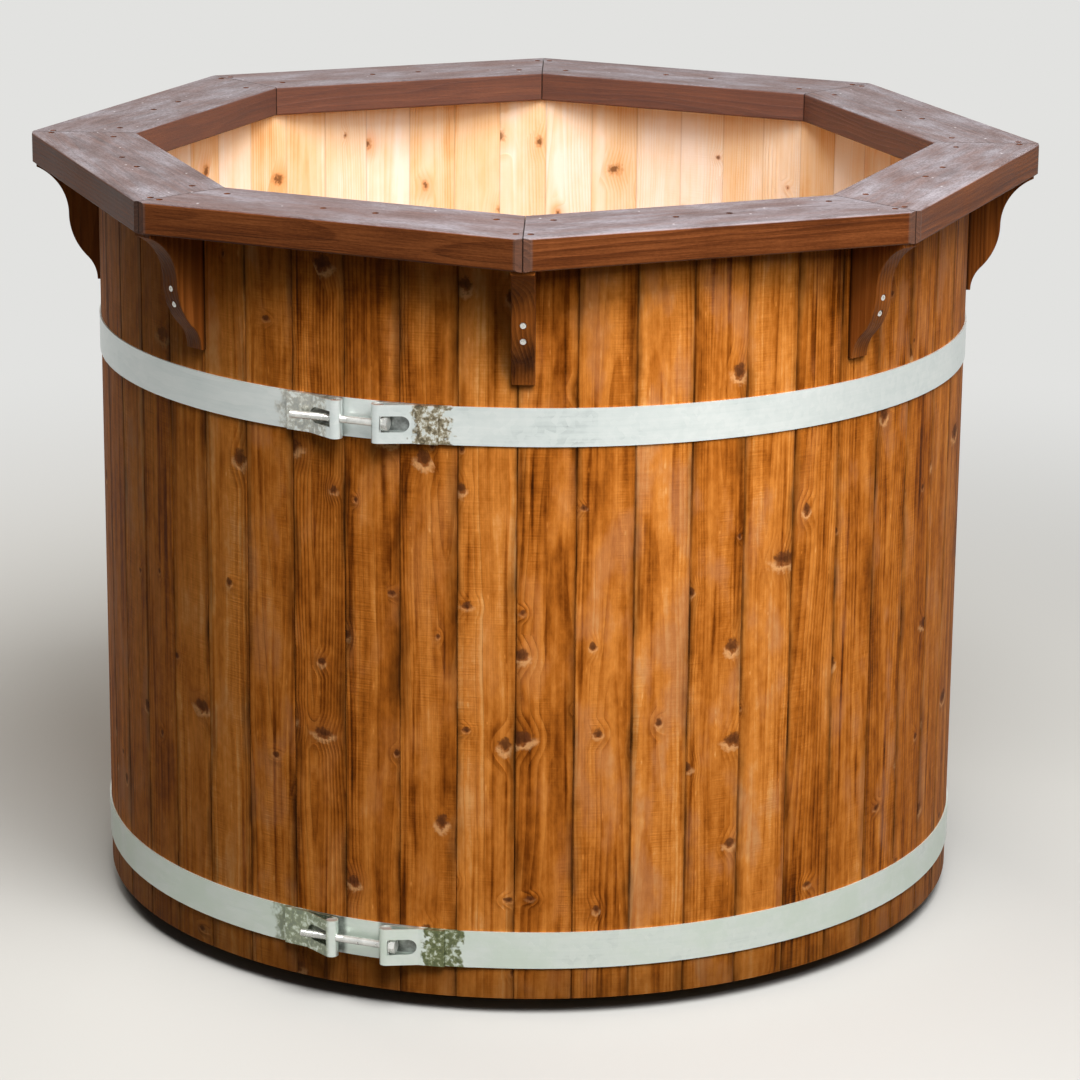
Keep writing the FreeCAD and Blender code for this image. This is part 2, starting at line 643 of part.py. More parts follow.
def folded_lug(label, foot, pin_offset, seat, side):
    """A strip folded round its cross pin and welded to the hoop, with a window for the bolt."""
    body = new_body(label, "clamp_turn", foot)
    centre = (bolt_axis, f"{side} * {pin_offset}")
    start = f"({side} * ({pin_offset} + {weld_start}))"
    finish = f"({side} * ({pin_offset} + {weld_start} + lug_weld_length))"
    inner_leg = f"({seat} + lug_thickness)"
    outer_leg = f"({seat} + 2 * lug_thickness)"
    strip = new_sketch(body, "XY_Plane")
    welded_end = [on_circle(outer_leg, start), on_circle(outer_leg, finish),
                  on_circle(seat, finish), on_circle(seat, start)]
    loop(strip, centre, fold_outer, side, welded_end, {0: outer_leg, 2: seat})
    loop(strip, centre, fold_inner, side, [on_circle(inner_leg, start)], {})
    pad(body, strip, "hoop_width")
    window = new_sketch(body, "YZ_Plane")
    near = f"{side} * ({pin_offset} + {window_start})"
    straight = f"{side} * ({pin_offset} + {window_end} - {window_half})"
    tip = f"{side} * ({pin_offset} + {window_end})"
    bottom = f"{strip_middle} - {window_half}"
    top = f"{strip_middle} + {window_half}"
    round_tip = (window_half, side, False)
    outline(window, [(near, bottom), (straight, bottom), (tip, strip_middle), (straight, top), (near, top)],
            {1: round_tip, 2: round_tip})
    cut_through(body, window)
    nose = new_sketch(body, "XZ_Plane")
    circle(nose, (bolt_axis, strip_middle), "bolt_radius + lug_nose_clearance")
    cut_through(body, nose)


def loop(sketch, centre, radius, side, legs, arcs):
    """A fold round a centre, tangent to two legs that run to the weld; arcs are edges along the legs."""
    middle = Vector(amount(centre[0]), amount(centre[1]), 0)
    size = amount(radius)
    points = [Vector(amount(x), amount(y), 0) for x, y in legs]

    def touch(point, top):
        away = point - middle
        lean = math.atan2(away.y, away.x) + top * math.acos(size / away.Length)
        return middle + Vector(math.cos(lean), math.sin(lean), 0) * size

    upper = touch(points[0], -side)
    lower = touch(points[-1], side)
    first, last = (upper, lower) if side < 0 else (lower, upper)
    angles = [math.atan2(p.y - middle.y, p.x - middle.x) for p in (first, last)]
    fold = sketch.addGeometry(Part.ArcOfCircle(Part.Circle(middle, Vector(0, 0, 1), size), *angles))
    upper_end, lower_end = (1, 2) if side < 0 else (2, 1)
    locate(sketch, fold, 3, centre)
    constrain(sketch, radius, "Radius", fold)
    edges = [(sketch.addGeometry(Part.LineSegment(upper, points[0])), 1, 2)]
    for index in range(len(points) - 1):
        if index in arcs:
            turn = side if index == 0 else -side
            shape = arc_between(points[index], points[index + 1], amount(arcs[index]), turn, False)
            edges.append((sketch.addGeometry(shape), *((1, 2) if turn > 0 else (2, 1))))
            constrain(sketch, arcs[index], "Radius", edges[-1][0])
        else:
            edges.append((sketch.addGeometry(Part.LineSegment(points[index], points[index + 1])), 1, 2))
    edges.append((sketch.addGeometry(Part.LineSegment(points[-1], lower)), 1, 2))
    for index, corner in enumerate(legs):
        edge, _, finish = edges[index]
        follower, follower_start, _ = edges[index + 1]
        sketch.addConstraint(Sketcher.Constraint("Coincident", edge, finish, follower, follower_start))
        locate(sketch, follower, follower_start, corner)
    sketch.addConstraint(Sketcher.Constraint("Tangent", fold, upper_end, edges[0][0], 1))
    sketch.addConstraint(Sketcher.Constraint("Tangent", fold, lower_end, edges[-1][0], 2))


def cross_pin(label, foot, pin_offset, side, flat):
    """A pin across the strip, bored for the bolt, with a flat for the washer on the head's side."""
    body = new_body(label, "clamp_turn", foot)
    end = new_sketch(body, "XY_Plane", "pin_inset")
    circle(end, (bolt_axis, f"{side} * {pin_offset}"), pin_radius)
    pad(body, end, "hoop_width - 2 * pin_inset")
    bore = new_sketch(body, "XZ_Plane")
    circle(bore, (bolt_axis, strip_middle), "bolt_radius + bolt_clearance")
    cut_through(body, bore)
    if flat:
        face = new_sketch(body, "XZ_Plane", f"-({pin_offset} + {head_seat})")
        half = "(washer_radius + lug_window_clearance)"
        rectangle(face, (f"{bolt_axis} - {pin_radius}", f"{strip_middle} - {half}"),
                  (f"{bolt_axis} + {pin_radius}", f"{strip_middle} + {half}"))
        cut_ahead(body, face, back=True)


def washer(label, foot, pin_offset):
    """A plain washer on the flat of the right-hand pin."""
    body = new_body(label, "clamp_turn", foot)
    ring = new_sketch(body, "XZ_Plane", f"-({pin_offset} + {head_seat})")
    circle(ring, (bolt_axis, strip_middle), "washer_radius")
    circle(ring, (bolt_axis, strip_middle), "bolt_radius + bolt_clearance")
    pad(body, ring, "washer_thickness", back=True)


def bolt(label, foot, pin_offset, tail):
    """A hexagon-headed bolt through both pins."""
    body = new_body(label, "clamp_turn", foot)
    under_head = f"({pin_offset} + {head_seat} + washer_thickness)"
    shank = new_sketch(body, "XZ_Plane", f"-{under_head}")
    circle(shank, (bolt_axis, strip_middle), "bolt_radius")
    pad(body, shank, f"{under_head} + {pin_offset} + {tail}")
    head = new_sketch(body, "XZ_Plane", f"-{under_head}")
    hexagon(head, (bolt_axis, strip_middle), "bolt_head_across")
    pad(body, head, "bolt_head_height", back=True)

    def free_end(edge):
        return isinstance(edge.Curve, Part.Circle) and edge.CenterOfMass.y < 0

    ease(body, "Chamfer", "bolt_end_chamfer", free_end)


def hoop(name, foot, gap, tail):
    """A hoop with its two lugs, two cross pins, bolt and washer."""
    pin_offset = f"({gap} / 2 + {fold_outer})"
    hoop_band(f"{name}_hoop_band", foot, pin_offset)
    folded_lug(f"{name}_left_lug", foot, pin_offset, f"({band_outer} + hoop_clearance)", -1)
    folded_lug(f"{name}_right_lug", foot, pin_offset, f"({lap_outer} + hoop_clearance)", 1)
    cross_pin(f"{name}_threaded_pin", foot, pin_offset, -1, flat=False)
    cross_pin(f"{name}_plain_pin", foot, pin_offset, 1, flat=True)
    washer(f"{name}_washer", foot, pin_offset)
    bolt(f"{name}_bolt", foot, pin_offset, tail)


# Drain: a flanged waste through the floor between two bearers, with gasket, locknut and lift-out plug
tail_radius = "(drain_bore + drain_wall)"
flange_radius = f"({tail_radius} + drain_lip)"
flange_foot = f"({floor_top} + drain_gasket_thickness)"
flange_top = f"({flange_foot} + drain_flange_thickness)"


def turned_piece(label, lift, corners):
    """A piece turned about the drain's axis from its half section."""
    body = new_body(label, lift=lift, aside=drain_place)
    section = new_sketch(body, "XZ_Plane")
    outline(section, corners)
    revolve(body, section)


def turned_ring(label, lift, bore, radius, thickness):
    """A flat ring on the drain's axis."""
    turned_piece(label, lift, [(bore, "0"), (radius, "0"), (radius, thickness), (bore, thickness)])


def drain():
    tail = f"(drain_ground_gap - {flange_foot})"
    spigot = f"({tail_radius} - drain_spigot_step)"
    thread_foot = f"({tail} + drain_spigot_length)"
    turned_piece("drain_waste", flange_foot, [
        ("drain_bore", tail), (spigot, tail), (spigot, thread_foot), (tail_radius, thread_foot),
        (tail_radius, "0"), (flange_radius, "0"),
        (flange_radius, "drain_flange_thickness"), ("drain_bore", "drain_flange_thickness")])
    round_tail = f"{tail_radius} + drain_thread_clearance"
    turned_ring("drain_gasket", floor_top, round_tail, flange_radius, "drain_gasket_thickness")
    nut = new_body("drain_locknut", lift="bearer_height - drain_nut_thickness", aside=drain_place)
    flats = new_sketch(nut, "XY_Plane")
    hexagon(flats, ("0", "0"), f"2 * ({tail_radius} + drain_nut_wall)")
    circle(flats, ("0", "0"), round_tail)
    pad(nut, flats, "drain_nut_thickness")
    stem = "(drain_bore - plug_clearance)"
    cap = "(drain_bore + plug_lip)"
    neck_foot = "plug_cap_thickness"
    knob_foot = f"({neck_foot} + plug_neck_height)"
    turned_piece("drain_plug", f"{flange_top} + plug_seal_thickness", [
        ("0", "-plug_stem"), (stem, "-plug_stem"), (stem, "0"), (cap, "0"), (cap, neck_foot),
        ("plug_neck_radius", neck_foot), ("plug_neck_radius", knob_foot), ("plug_knob_radius", knob_foot),
        ("plug_knob_radius", f"{knob_foot} + plug_knob_height"), ("0", f"{knob_foot} + plug_knob_height")])
    turned_ring("drain_plug_seal", flange_top, "drain_bore", cap, "plug_seal_thickness")


stave_sets()
floor_boards()
bearers()
bearer_screws()
rim_boards()
rim_screws()
brackets()
bracket_screws()
hoop("upper", upper_hoop_foot, "upper_clamp_gap", "upper_bolt_tail")
hoop("lower", lower_hoop_foot, "lower_clamp_gap", "lower_bolt_tail")
drain()
doc.recompute()

# Every object is sound before any piece is written
for item in doc.Objects:
    if {"Invalid", "Error"} & set(item.State):
        raise RuntimeError(f"{item.Label} failed: {item.getStatusString()}")
for piece in PIECES:
    if piece.Shape.isNull() or not piece.Shape.isValid() or not piece.Shape.Solids:
        raise RuntimeError(f"{piece.Label} is not a sound solid")

os.makedirs("parts", exist_ok=True)
for piece in PIECES:
    piece.Shape.exportStep(f"parts/{piece.Label}.step")
    print(piece.Label, len(piece.Shape.Solids), round(piece.Shape.Volume))
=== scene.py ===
import math

import bpy
from mathutils import Matrix, Vector


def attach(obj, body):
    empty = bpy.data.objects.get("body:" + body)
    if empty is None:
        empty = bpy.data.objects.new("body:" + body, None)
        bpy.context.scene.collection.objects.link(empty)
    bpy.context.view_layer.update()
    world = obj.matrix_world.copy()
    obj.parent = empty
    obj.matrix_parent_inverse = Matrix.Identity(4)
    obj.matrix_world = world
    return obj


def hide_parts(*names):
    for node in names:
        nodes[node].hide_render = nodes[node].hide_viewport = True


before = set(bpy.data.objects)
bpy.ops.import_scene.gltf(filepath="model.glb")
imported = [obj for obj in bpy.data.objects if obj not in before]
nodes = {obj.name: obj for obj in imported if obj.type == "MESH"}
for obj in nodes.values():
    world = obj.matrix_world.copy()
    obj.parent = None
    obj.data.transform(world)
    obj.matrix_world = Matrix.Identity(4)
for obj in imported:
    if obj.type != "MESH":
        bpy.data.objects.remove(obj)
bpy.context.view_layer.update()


# Staves: fifty upright boards of knotty softwood, planed to the round and joined edge to edge by bead and
# cove. A brown oil stain covers the outside and has run down and sunk into the seams. The inside is bare.
class Finish:
    """A material and short calls for the nodes that make it up."""

    def __init__(self, name):
        self.material = bpy.data.materials.new(name)
        self.material.use_nodes = True
        self.tree = self.material.node_tree
        self.tree.nodes.clear()

    def node(self, kind, feeds, **settings):
        node = self.tree.nodes.new(kind)
        for name, value in settings.items():
            setattr(node, name, value)
        for socket, feed in feeds.items():
            if isinstance(feed, bpy.types.NodeSocket):
                self.tree.links.new(feed, node.inputs[socket])
            else:
                node.inputs[socket].default_value = feed
        return node.outputs

    def math(self, operation, *feeds):
        return self.node("ShaderNodeMath", dict(enumerate(feeds)), operation=operation)[0]

    def add(self, *feeds):
        total = feeds[0]
        for feed in feeds[1:]:
            total = self.math("ADD", total, feed)
        return total

    def times(self, *feeds):
        total = feeds[0]
        for feed in feeds[1:]:
            total = self.math("MULTIPLY", total, feed)
        return total

    def length(self, *sides):
        """The length of the diagonal of these sides."""
        return self.math("SQRT", self.add(*[self.math("MULTIPLY", side, side) for side in sides]))

    def swing(self, value, reach):
        """A value of 0 to 1 as a change of up to half the reach each way."""
        return self.math("MULTIPLY_ADD", value, reach, -reach / 2)

    def join(self, x, y, z):
        return self.node("ShaderNodeCombineXYZ", {0: x, 1: y, 2: z})[0]

    def split(self, vector):
        return tuple(self.node("ShaderNodeSeparateXYZ", {0: vector}))

    def place(self):
        """The point's own place on the tub, in metres."""
        return self.split(self.node("ShaderNodeTexCoord", {})["Object"])

    def facing_up(self):
        """1 on a surface that faces up, 0 on an upright one."""
        return self.band(self.split(self.node("ShaderNodeNewGeometry", {})["Normal"])[2], 0.4, 0.8)

    def band(self, value, low, high, to_low=0.0, to_high=1.0):
        """A soft step from one level to another as the value goes from low to high."""
        feeds = {0: value, 1: low, 2: high, 3: to_low, 4: to_high}
        return self.node("ShaderNodeMapRange", feeds, interpolation_type="SMOOTHSTEP")[0]

    def noise(self, x, y, z, detail=3.0, rough=0.55):
        feeds = {"Vector": self.join(x, y, z), "Scale": 1.0, "Detail": detail, "Roughness": rough}
        return self.node("ShaderNodeTexNoise", feeds)[0]

    def speckle(self, x, y, z, size, **kind):
        """A noise of one fineness each way, to the metre."""
        return self.noise(self.times(x, size), self.times(y, size), self.times(z, size), **kind)

    def cells(self, x, y):
        """Scattered points: the nearest one's three random numbers and the way across and up from it."""
        spot = self.join(x, y, 0.0)
        found = self.node("ShaderNodeTexVoronoi", {"Vector": spot, "Scale": 1.0}, voronoi_dimensions="2D")
        centre = self.split(found["Position"])
        right, up = self.math("SUBTRACT", x, centre[0]), self.math("SUBTRACT", y, centre[1])
        return self.split(found["Color"]), right, up

    def chance(self, value):
        """Three random numbers, 0 to 1, for a board's number."""
        drawn_lot = self.node("ShaderNodeTexWhiteNoise", {"W": value}, noise_dimensions="1D")
        return self.split(drawn_lot["Color"])

    def mix(self, share, first, second):
        return self.node("ShaderNodeMix", {0: share, 6: first, 7: second}, data_type="RGBA")[2]

    def ramp(self, value, *stops):
        node = self.tree.nodes.new("ShaderNodeValToRGB")
        self.tree.links.new(value, node.inputs[0])
        points = node.color_ramp.elements
        while len(points) < len(stops):
            points.new(1.0)
        for point, (position, colour) in zip(points, stops):
            point.position = position
            point.color = colour
        return node.outputs[0]

    def surface(self, colour, roughness, height, depth, **others):
        """The finished surface, with the relief's depth in metres and what else the shader is given."""
        bump = self.node("ShaderNodeBump", {"Strength": 1.0, "Distance": depth, "Height": height})
        feeds = {"Base Color": colour, "Roughness": roughness, "Normal": bump[0]}
        feeds.update({socket.replace("_", " "): value for socket, value in others.items()})
        shader = self.node("ShaderNodeBsdfPrincipled", feeds)
        self.node("ShaderNodeOutputMaterial", {"Surface": shader[0]})
        return self.material


def shade(red, green, blue):
    """A screen colour, 0 to 255, as the light that it stands for."""
    steps = [value / 255 for value in (red, green, blue)]
    return [s / 12.92 if s <= 0.04045 else ((s + 0.055) / 1.055) ** 2.4 for s in steps] + [1.0]


def dress(finish, *names):
    """Gives CAD nodes their finish."""
    for name in names:
        for slot in nodes[name].material_slots:
            slot.material = finish


# How far apart two boards may lie in the log, across it and along it.
BOARD_SHIFT = 61.0
BOARD_SLIDE = 47.0


def knots(f, across, along, seeds, share, largest):
    """A board's knots, each 0 to 1: pith, heart, a painted shade on the heart's upper rind, a painted
    highlight on the lip below and the grain's swelling.
    """
    column, row, fray = 0.066, 0.12, 150.0
    numbers, right, up = f.cells(f.math("MULTIPLY_ADD", across, 1 / column, f.times(seeds[0], BOARD_SHIFT)),
                                 f.math("MULTIPLY_ADD", along, 1 / row, f.times(seeds[1], BOARD_SLIDE)))
    right, up = f.times(right, column), f.times(up, row)
    there = f.band(numbers[0], share, share - 0.02)
    radius = f.math("MULTIPLY_ADD", f.times(numbers[1], numbers[1]), largest * 0.7, largest * 0.3)
    stretch = f.band(numbers[2], 0.0, 1.0, 0.65, 1.5)
    far = f.math("DIVIDE", f.length(f.times(right, stretch), up), radius)
    ragged = f.noise(f.times(across, fray), seeds[2], f.times(along, fray))
    away = f.add(far, f.swing(ragged, 1.7))
    # The upper side of each knot takes a painted shade and the lower side a painted highlight, as if lit from
    # above.
    upper = f.band(f.math("DIVIDE", up, radius), -0.6, 0.3)
    rind_shade = f.times(upper, f.band(away, 0.3, 0.7))
    pith = f.times(there, f.band(away, 0.75, 0.3))
    heart = f.times(there, f.band(away, 1.3, 0.7))
    under = f.times(f.band(away, 0.7, 1.05), f.band(away, 1.9, 1.15), f.math("SUBTRACT", 1.0, upper))
    lip_highlight = f.times(there, under, f.band(numbers[1], 0.2, 0.9, 0.25, 1.0))
    swell = f.times(there, f.band(far, 4.2, 0.4))
    return pith, heart, rind_shade, lip_highlight, swell


# The figures of the grain to the metre, across the board and along it.
BENDS = (11.0, 2.3)
STREAKS = (58.0, 2.1)
FIBRES = (430.0, 9.0)


def timber(f, across, depth, along, seeds, swell, ring):
    """The figure of a sawn board, each 0 to 1: growth rings, broad streaks and fine fibres."""
    shift, slide = f.times(seeds[0], BOARD_SHIFT), f.times(seeds[1], BOARD_SLIDE)
    bend = f.noise(f.math("MULTIPLY_ADD", across, BENDS[0], shift), f.times(depth, BENDS[0]),
                   f.math("MULTIPLY_ADD", along, BENDS[1], slide), detail=2.0)
    lean = f.times(f.swing(seeds[2], 0.06), along)
    side = f.add(across, f.swing(seeds[1], 0.10), f.swing(bend, 0.03))
    back = f.add(depth, f.math("MULTIPLY_ADD", seeds[0], 0.07, 0.012), lean)
    years = f.math("DIVIDE", f.math("MULTIPLY_ADD", swell, 0.006, f.length(side, back)), ring)
    year = f.math("FRACT", years)
    late = f.times(f.band(year, 0.2, 0.88), f.band(year, 1.0, 0.9))
    fat = f.noise(f.times(years, 0.31), slide, f.times(along, 0.8), detail=1.0)
    rings = f.times(late, f.band(fat, 0.3, 0.62, 0.2, 1.0))
    streaks = f.noise(f.math("MULTIPLY_ADD", side, STREAKS[0], shift), f.times(depth, STREAKS[0]),
                      f.math("MULTIPLY_ADD", along, STREAKS[1], slide), rough=0.6)
    fibres = f.noise(f.times(side, FIBRES[0]), f.times(depth, FIBRES[0]),
                     f.math("MULTIPLY_ADD", along, FIBRES[1], slide), detail=3.0, rough=0.7)
    return rings, streaks, fibres


def figure(f, size, across, lot, along, **kind):
    """A pattern on a board, as fine across and along it as its size says, and different from lot to lot."""
    return f.noise(f.times(across, size[0]), lot, f.times(along, size[1]), **kind)


def polar(f, x, y):
    """The distance from the tub's axis, and the turn about it in degrees."""
    return f.length(x, y), f.math("DEGREES", f.math("ARCTAN2", y, x))


STAVE_TURN = 7.2
FIRST_SEAM = 2.9
SHELL_RADIUS = 0.600
WALL_MIDDLE = 0.579
STAVE_WIDTH = math.radians(STAVE_TURN) * SHELL_RADIUS
STAVE_RING = 0.0042
STAVE_KNOT = 0.0118
STAVE_KNOT_SHARE = 0.45
STAVE_TINT_SEED = 77.0
TEAR_WIDTH, TEAR_LENGTH = 0.024, 0.04

# The marks of the saw and the stain to the metre, across the stave and along it.
SAW_MARKS = (16.0, 480.0)
ROUGH_PATCHES = (30.0, 3.0)
RUNS = (85.0, 2.6)
PATCHES = (21.0, 9.0)
MOTTLE = (95.0, 48.0)
DAMP = (30.0, 6.0)

STAIN = [(0.0, shade(54, 22, 2)), (0.28, shade(124, 61, 9)), (0.54, shade(182, 103, 32)),
         (0.8, shade(220, 137, 58)), (1.0, shade(238, 168, 96))]
PALE_STAIN_AND_SHEEN = shade(174, 116, 82)
STAINED_SWELL = shade(146, 82, 40)
KNOT_LIP_HIGHLIGHT = shade(240, 178, 118)
STAINED_HEART = shade(122, 70, 42)
KNOT_RIND_SHADE = shade(70, 36, 20)
STAINED_PITH = shade(60, 30, 16)
FOOT_DARKENING = shade(82, 50, 18)
STAINED_SEAM = shade(46, 22, 5)
BARE_WOOD = [(0.0, shade(228, 164, 100)), (0.3, shade(240, 199, 150)), (0.62, shade(246, 217, 184)),
             (1.0, shade(252, 236, 222))]
BARE_SWELL = shade(232, 158, 84)
BARE_HEART = shade(200, 124, 58)
BARE_PITH = shade(96, 54, 24)
BARE_SEAM = shade(158, 104, 54)

f = Finish("stave_stain")
x, y, z = f.place()
radius, turn = polar(f, x, y)
count = f.math("MULTIPLY_ADD", turn, 1 / STAVE_TURN, 100 - FIRST_SEAM / STAVE_TURN)
number = f.math("FLOORED_MODULO", f.math("FLOOR", count), 360 / STAVE_TURN)
across = f.swing(f.math("FRACT", count), STAVE_WIDTH)
depth = f.math("SUBTRACT", radius, SHELL_RADIUS)
edge = f.math("SUBTRACT", STAVE_WIDTH / 2, f.math("ABSOLUTE", across))
seeds = f.chance(number)
tints = f.chance(f.add(number, STAVE_TINT_SEED))
pith, heart, rind_shade, lip_highlight, swell = knots(f, across, z, seeds, STAVE_KNOT_SHARE, STAVE_KNOT)
rings, streaks, fibres = timber(f, across, depth, z, seeds, swell, STAVE_RING)
saw = figure(f, SAW_MARKS, across, number, z, detail=1.0)
left_rough = figure(f, ROUGH_PATCHES, across, number, z)
sawn = f.times(f.swing(saw, 1.0), f.band(left_rough, 0.4, 0.65))
runs = figure(f, RUNS, across, f.times(number, 3.7), z, detail=2.0)
patches = figure(f, PATCHES, across, f.times(number, 5.3), z, detail=4.0)
mottle = figure(f, MOTTLE, across, f.times(number, 2.9), z, detail=4.0, rough=0.65)
picks, right, up = f.cells(f.math("MULTIPLY_ADD", across, 1 / TEAR_WIDTH, f.times(number, 9.0)),
                           f.times(z, 1 / TEAR_LENGTH))
torn = f.times(f.band(picks[0], 0.13, 0.11), f.band(f.math("ABSOLUTE", right), 0.07, 0.02),
               f.band(f.math("ABSOLUTE", up), f.math("MULTIPLY_ADD", picks[1], 0.16, 0.06), 0.02))

tone = f.add(0.68, f.swing(streaks, 0.95), f.times(rings, -0.17), f.swing(fibres, 0.27),
             f.swing(tints[0], 0.2), f.times(sawn, 0.26), f.times(f.band(runs, 0.56, 0.74), -0.36),
             f.swing(patches, 0.76), f.swing(mottle, 0.5), f.times(torn, 0.18))
brown = f.ramp(tone, *STAIN)
# Pale mauve blotches in the stain, lightened further as a painted sheen.
bloom = f.times(f.band(patches, 0.5, 0.68), f.band(tints[1], 0.2, 0.9, 0.15, 0.6))
brown = f.mix(bloom, brown, PALE_STAIN_AND_SHEEN)
brown = f.mix(f.times(swell, f.band(tints[2], 0.3, 0.9, 0.0, 0.5)), brown, STAINED_SWELL)
# The pale lip under each knot is a painted highlight.
brown = f.mix(f.times(lip_highlight, 0.75), brown, KNOT_LIP_HIGHLIGHT)
brown = f.mix(f.times(heart, 0.6), brown, STAINED_HEART)
# The dark upper rind of each knot is a painted shade.
brown = f.mix(f.times(heart, rind_shade, 0.55), brown, KNOT_RIND_SHADE)
brown = f.mix(f.times(pith, 0.7), brown, STAINED_PITH)
# Darker towards the bottom of the staves.
darker_foot = f.band(f.math("MULTIPLY_ADD", streaks, -0.06, z), 0.075, 0.0, 0.0, 0.5)
brown = f.mix(darker_foot, brown, FOOT_DARKENING)
seam_dark = f.band(f.noise(number, 3.0, f.times(z, 7.0), detail=3.0), 0.34, 0.64, 0.3, 0.95)
damp = figure(f, DAMP, across, f.times(number, 1.7), z, detail=4.0)
creep = f.add(edge, f.swing(damp, 0.045))
soaked = f.add(f.band(creep, 0.012, -0.002, 0.0, 0.66), f.band(edge, 0.003, 0.0008, 0.0, 0.34))
brown = f.mix(f.times(soaked, seam_dark), brown, STAINED_SEAM)

pale = f.add(0.69, f.swing(streaks, 0.8), f.times(rings, -0.22), f.swing(tints[2], 0.56),
             f.swing(patches, 1.0))
bare = f.ramp(pale, *BARE_WOOD)
bare = f.mix(f.times(swell, f.band(tints[1], 0.2, 0.8, 0.15, 0.6)), bare, BARE_SWELL)
bare = f.mix(f.times(heart, 0.5), bare, BARE_HEART)
bare = f.mix(f.times(pith, 0.75), bare, BARE_PITH)
bare = f.mix(f.band(edge, 0.0018, 0.0005, 0.0, 0.24), bare, BARE_SEAM)

inside = f.band(radius, WALL_MIDDLE + 0.002, WALL_MIDDLE - 0.002)
relief = f.add(f.times(rings, 0.3), f.times(fibres, 0.4), f.times(sawn, 0.35), f.times(heart, -0.2),
               f.times(swell, 0.5))
sheen = f.add(f.times(fibres, 0.25), f.times(inside, 0.06), f.times(heart, 0.1), 0.46)
dress(f.surface(f.mix(inside, brown, bare), sheen, relief, 0.0011, Specular_IOR_Level=0.07),
      *[f"stave_set_{n}" for n in range(1, 6)])


# Floor boards: nine tongued and grooved boards of the same bare softwood, laid side by side and held by
# their ends in the groove inside the staves. Wetting has dulled them.
BOARD_PITCH = 0.1266
FLOOR_TOP = 0.112
FLOOR_RING = 0.005
FLOOR_KNOT = 0.011
FLOOR_KNOT_SHARE = 0.4
FLOOR_SEED = 300.0
WET_PATCHES = 5.0
FLOOR_WOOD = [(0.0, shade(188, 136, 84)), (0.4, shade(224, 180, 124)), (1.0, shade(246, 218, 176))]
DULLED_WOOD = shade(176, 140, 100)
FLOOR_HEART = shade(160, 104, 58)
FLOOR_PITH = shade(88, 48, 24)
FLOOR_SEAM = shade(92, 60, 32)

f = Finish("floor_board_wood")
x, y, z = f.place()
count = f.math("MULTIPLY_ADD", y, 1 / BOARD_PITCH, 10.5)
number = f.math("FLOOR", count)
across = f.swing(f.math("FRACT", count), BOARD_PITCH)
seeds = f.chance(f.add(number, FLOOR_SEED))
pith, heart, _, _, swell = knots(f, across, x, seeds, FLOOR_KNOT_SHARE, FLOOR_KNOT)
rings, streaks, fibres = timber(f, across, f.math("SUBTRACT", z, FLOOR_TOP), x, seeds, swell, FLOOR_RING)
wet = f.noise(f.times(x, WET_PATCHES), f.times(y, WET_PATCHES), 0.0, detail=4.0)
tone = f.add(0.5, f.swing(streaks, 0.9), f.times(rings, -0.3), f.swing(seeds[2], 0.4), f.swing(fibres, 0.3))
board = f.ramp(tone, *FLOOR_WOOD)
board = f.mix(f.band(wet, 0.45, 0.7, 0.0, 0.35), board, DULLED_WOOD)
board = f.mix(f.times(heart, 0.5), board, FLOOR_HEART)
board = f.mix(f.times(pith, 0.8), board, FLOOR_PITH)
edge = f.math("SUBTRACT", BOARD_PITCH / 2, f.math("ABSOLUTE", across))
board = f.mix(f.band(edge, 0.0025, 0.0006, 0.0, 0.7), board, FLOOR_SEAM)
dress(f.surface(board, f.add(0.5, f.swing(wet, 0.3)), f.add(rings, fibres), 0.0006),
      *[f"floor_board_{n}" for n in range(1, 10)])


# Bearers: three lengths of sawn softwood under the floor, on which the tub stands. They are rough from
# the saw, and screwed up into the floor boards.
BEARER_SPACING = 0.35
BEARER_RING = 0.006
BEARER_SEED = 400.0
BEARER_SAW_MARKS = (20.0, 420.0)
DAMP_HEIGHT = 0.03
BEARER_WOOD = [(0.0, shade(88, 58, 32)), (0.5, shade(146, 104, 62)), (1.0, shade(186, 142, 92))]
BEARER_DAMP = shade(74, 58, 42)

f = Finish("bearer_wood")
x, y, z = f.place()
number = f.math("FLOOR", f.math("MULTIPLY_ADD", x, 1 / BEARER_SPACING, 0.5))
seeds = f.chance(f.add(number, BEARER_SEED))
rings, streaks, fibres = timber(f, x, z, y, seeds, 0.0, BEARER_RING)
saw = f.noise(f.times(x, BEARER_SAW_MARKS[0]), f.times(y, BEARER_SAW_MARKS[1]),
              f.times(z, BEARER_SAW_MARKS[0]), detail=1.0)
tone = f.add(0.5, f.swing(streaks, 0.9), f.times(rings, -0.25), f.swing(saw, 0.4))
sawn_wood = f.ramp(tone, *BEARER_WOOD)
sawn_wood = f.mix(f.band(z, DAMP_HEIGHT, 0.0, 0.0, 0.5), sawn_wood, BEARER_DAMP)
dress(f.surface(sawn_wood, f.add(0.7, f.swing(saw, 0.3)), f.add(fibres, saw), 0.001),
      "bearer_1", "bearer_2", "bearer_3")


# Hoops: two bands of galvanised strip round the staves, each with its ends lapped at the clamp. The zinc
# is satin, with crystals, rubbed streaks and weather bloom, and the lower one has picked up a little green.
CLAMP_TURN = math.radians(250)
CLAMP_OUT = Vector((math.cos(CLAMP_TURN), math.sin(CLAMP_TURN), 0))
CLAMP_ALONG = Vector((-math.sin(CLAMP_TURN), math.cos(CLAMP_TURN), 0))
ZINC = [(0.0, shade(160, 172, 171)), (0.45, shade(226, 234, 232)), (1.0, shade(246, 250, 248))]
GREENED_ZINC = shade(206, 222, 208)
ZINC_CRYSTALS = 120.0

# The marks on the zinc to the metre, round the hoop and up it.
RUB_STREAKS = (7.0, 260.0)
ZINC_BLOOM = (11.0, 20.0)


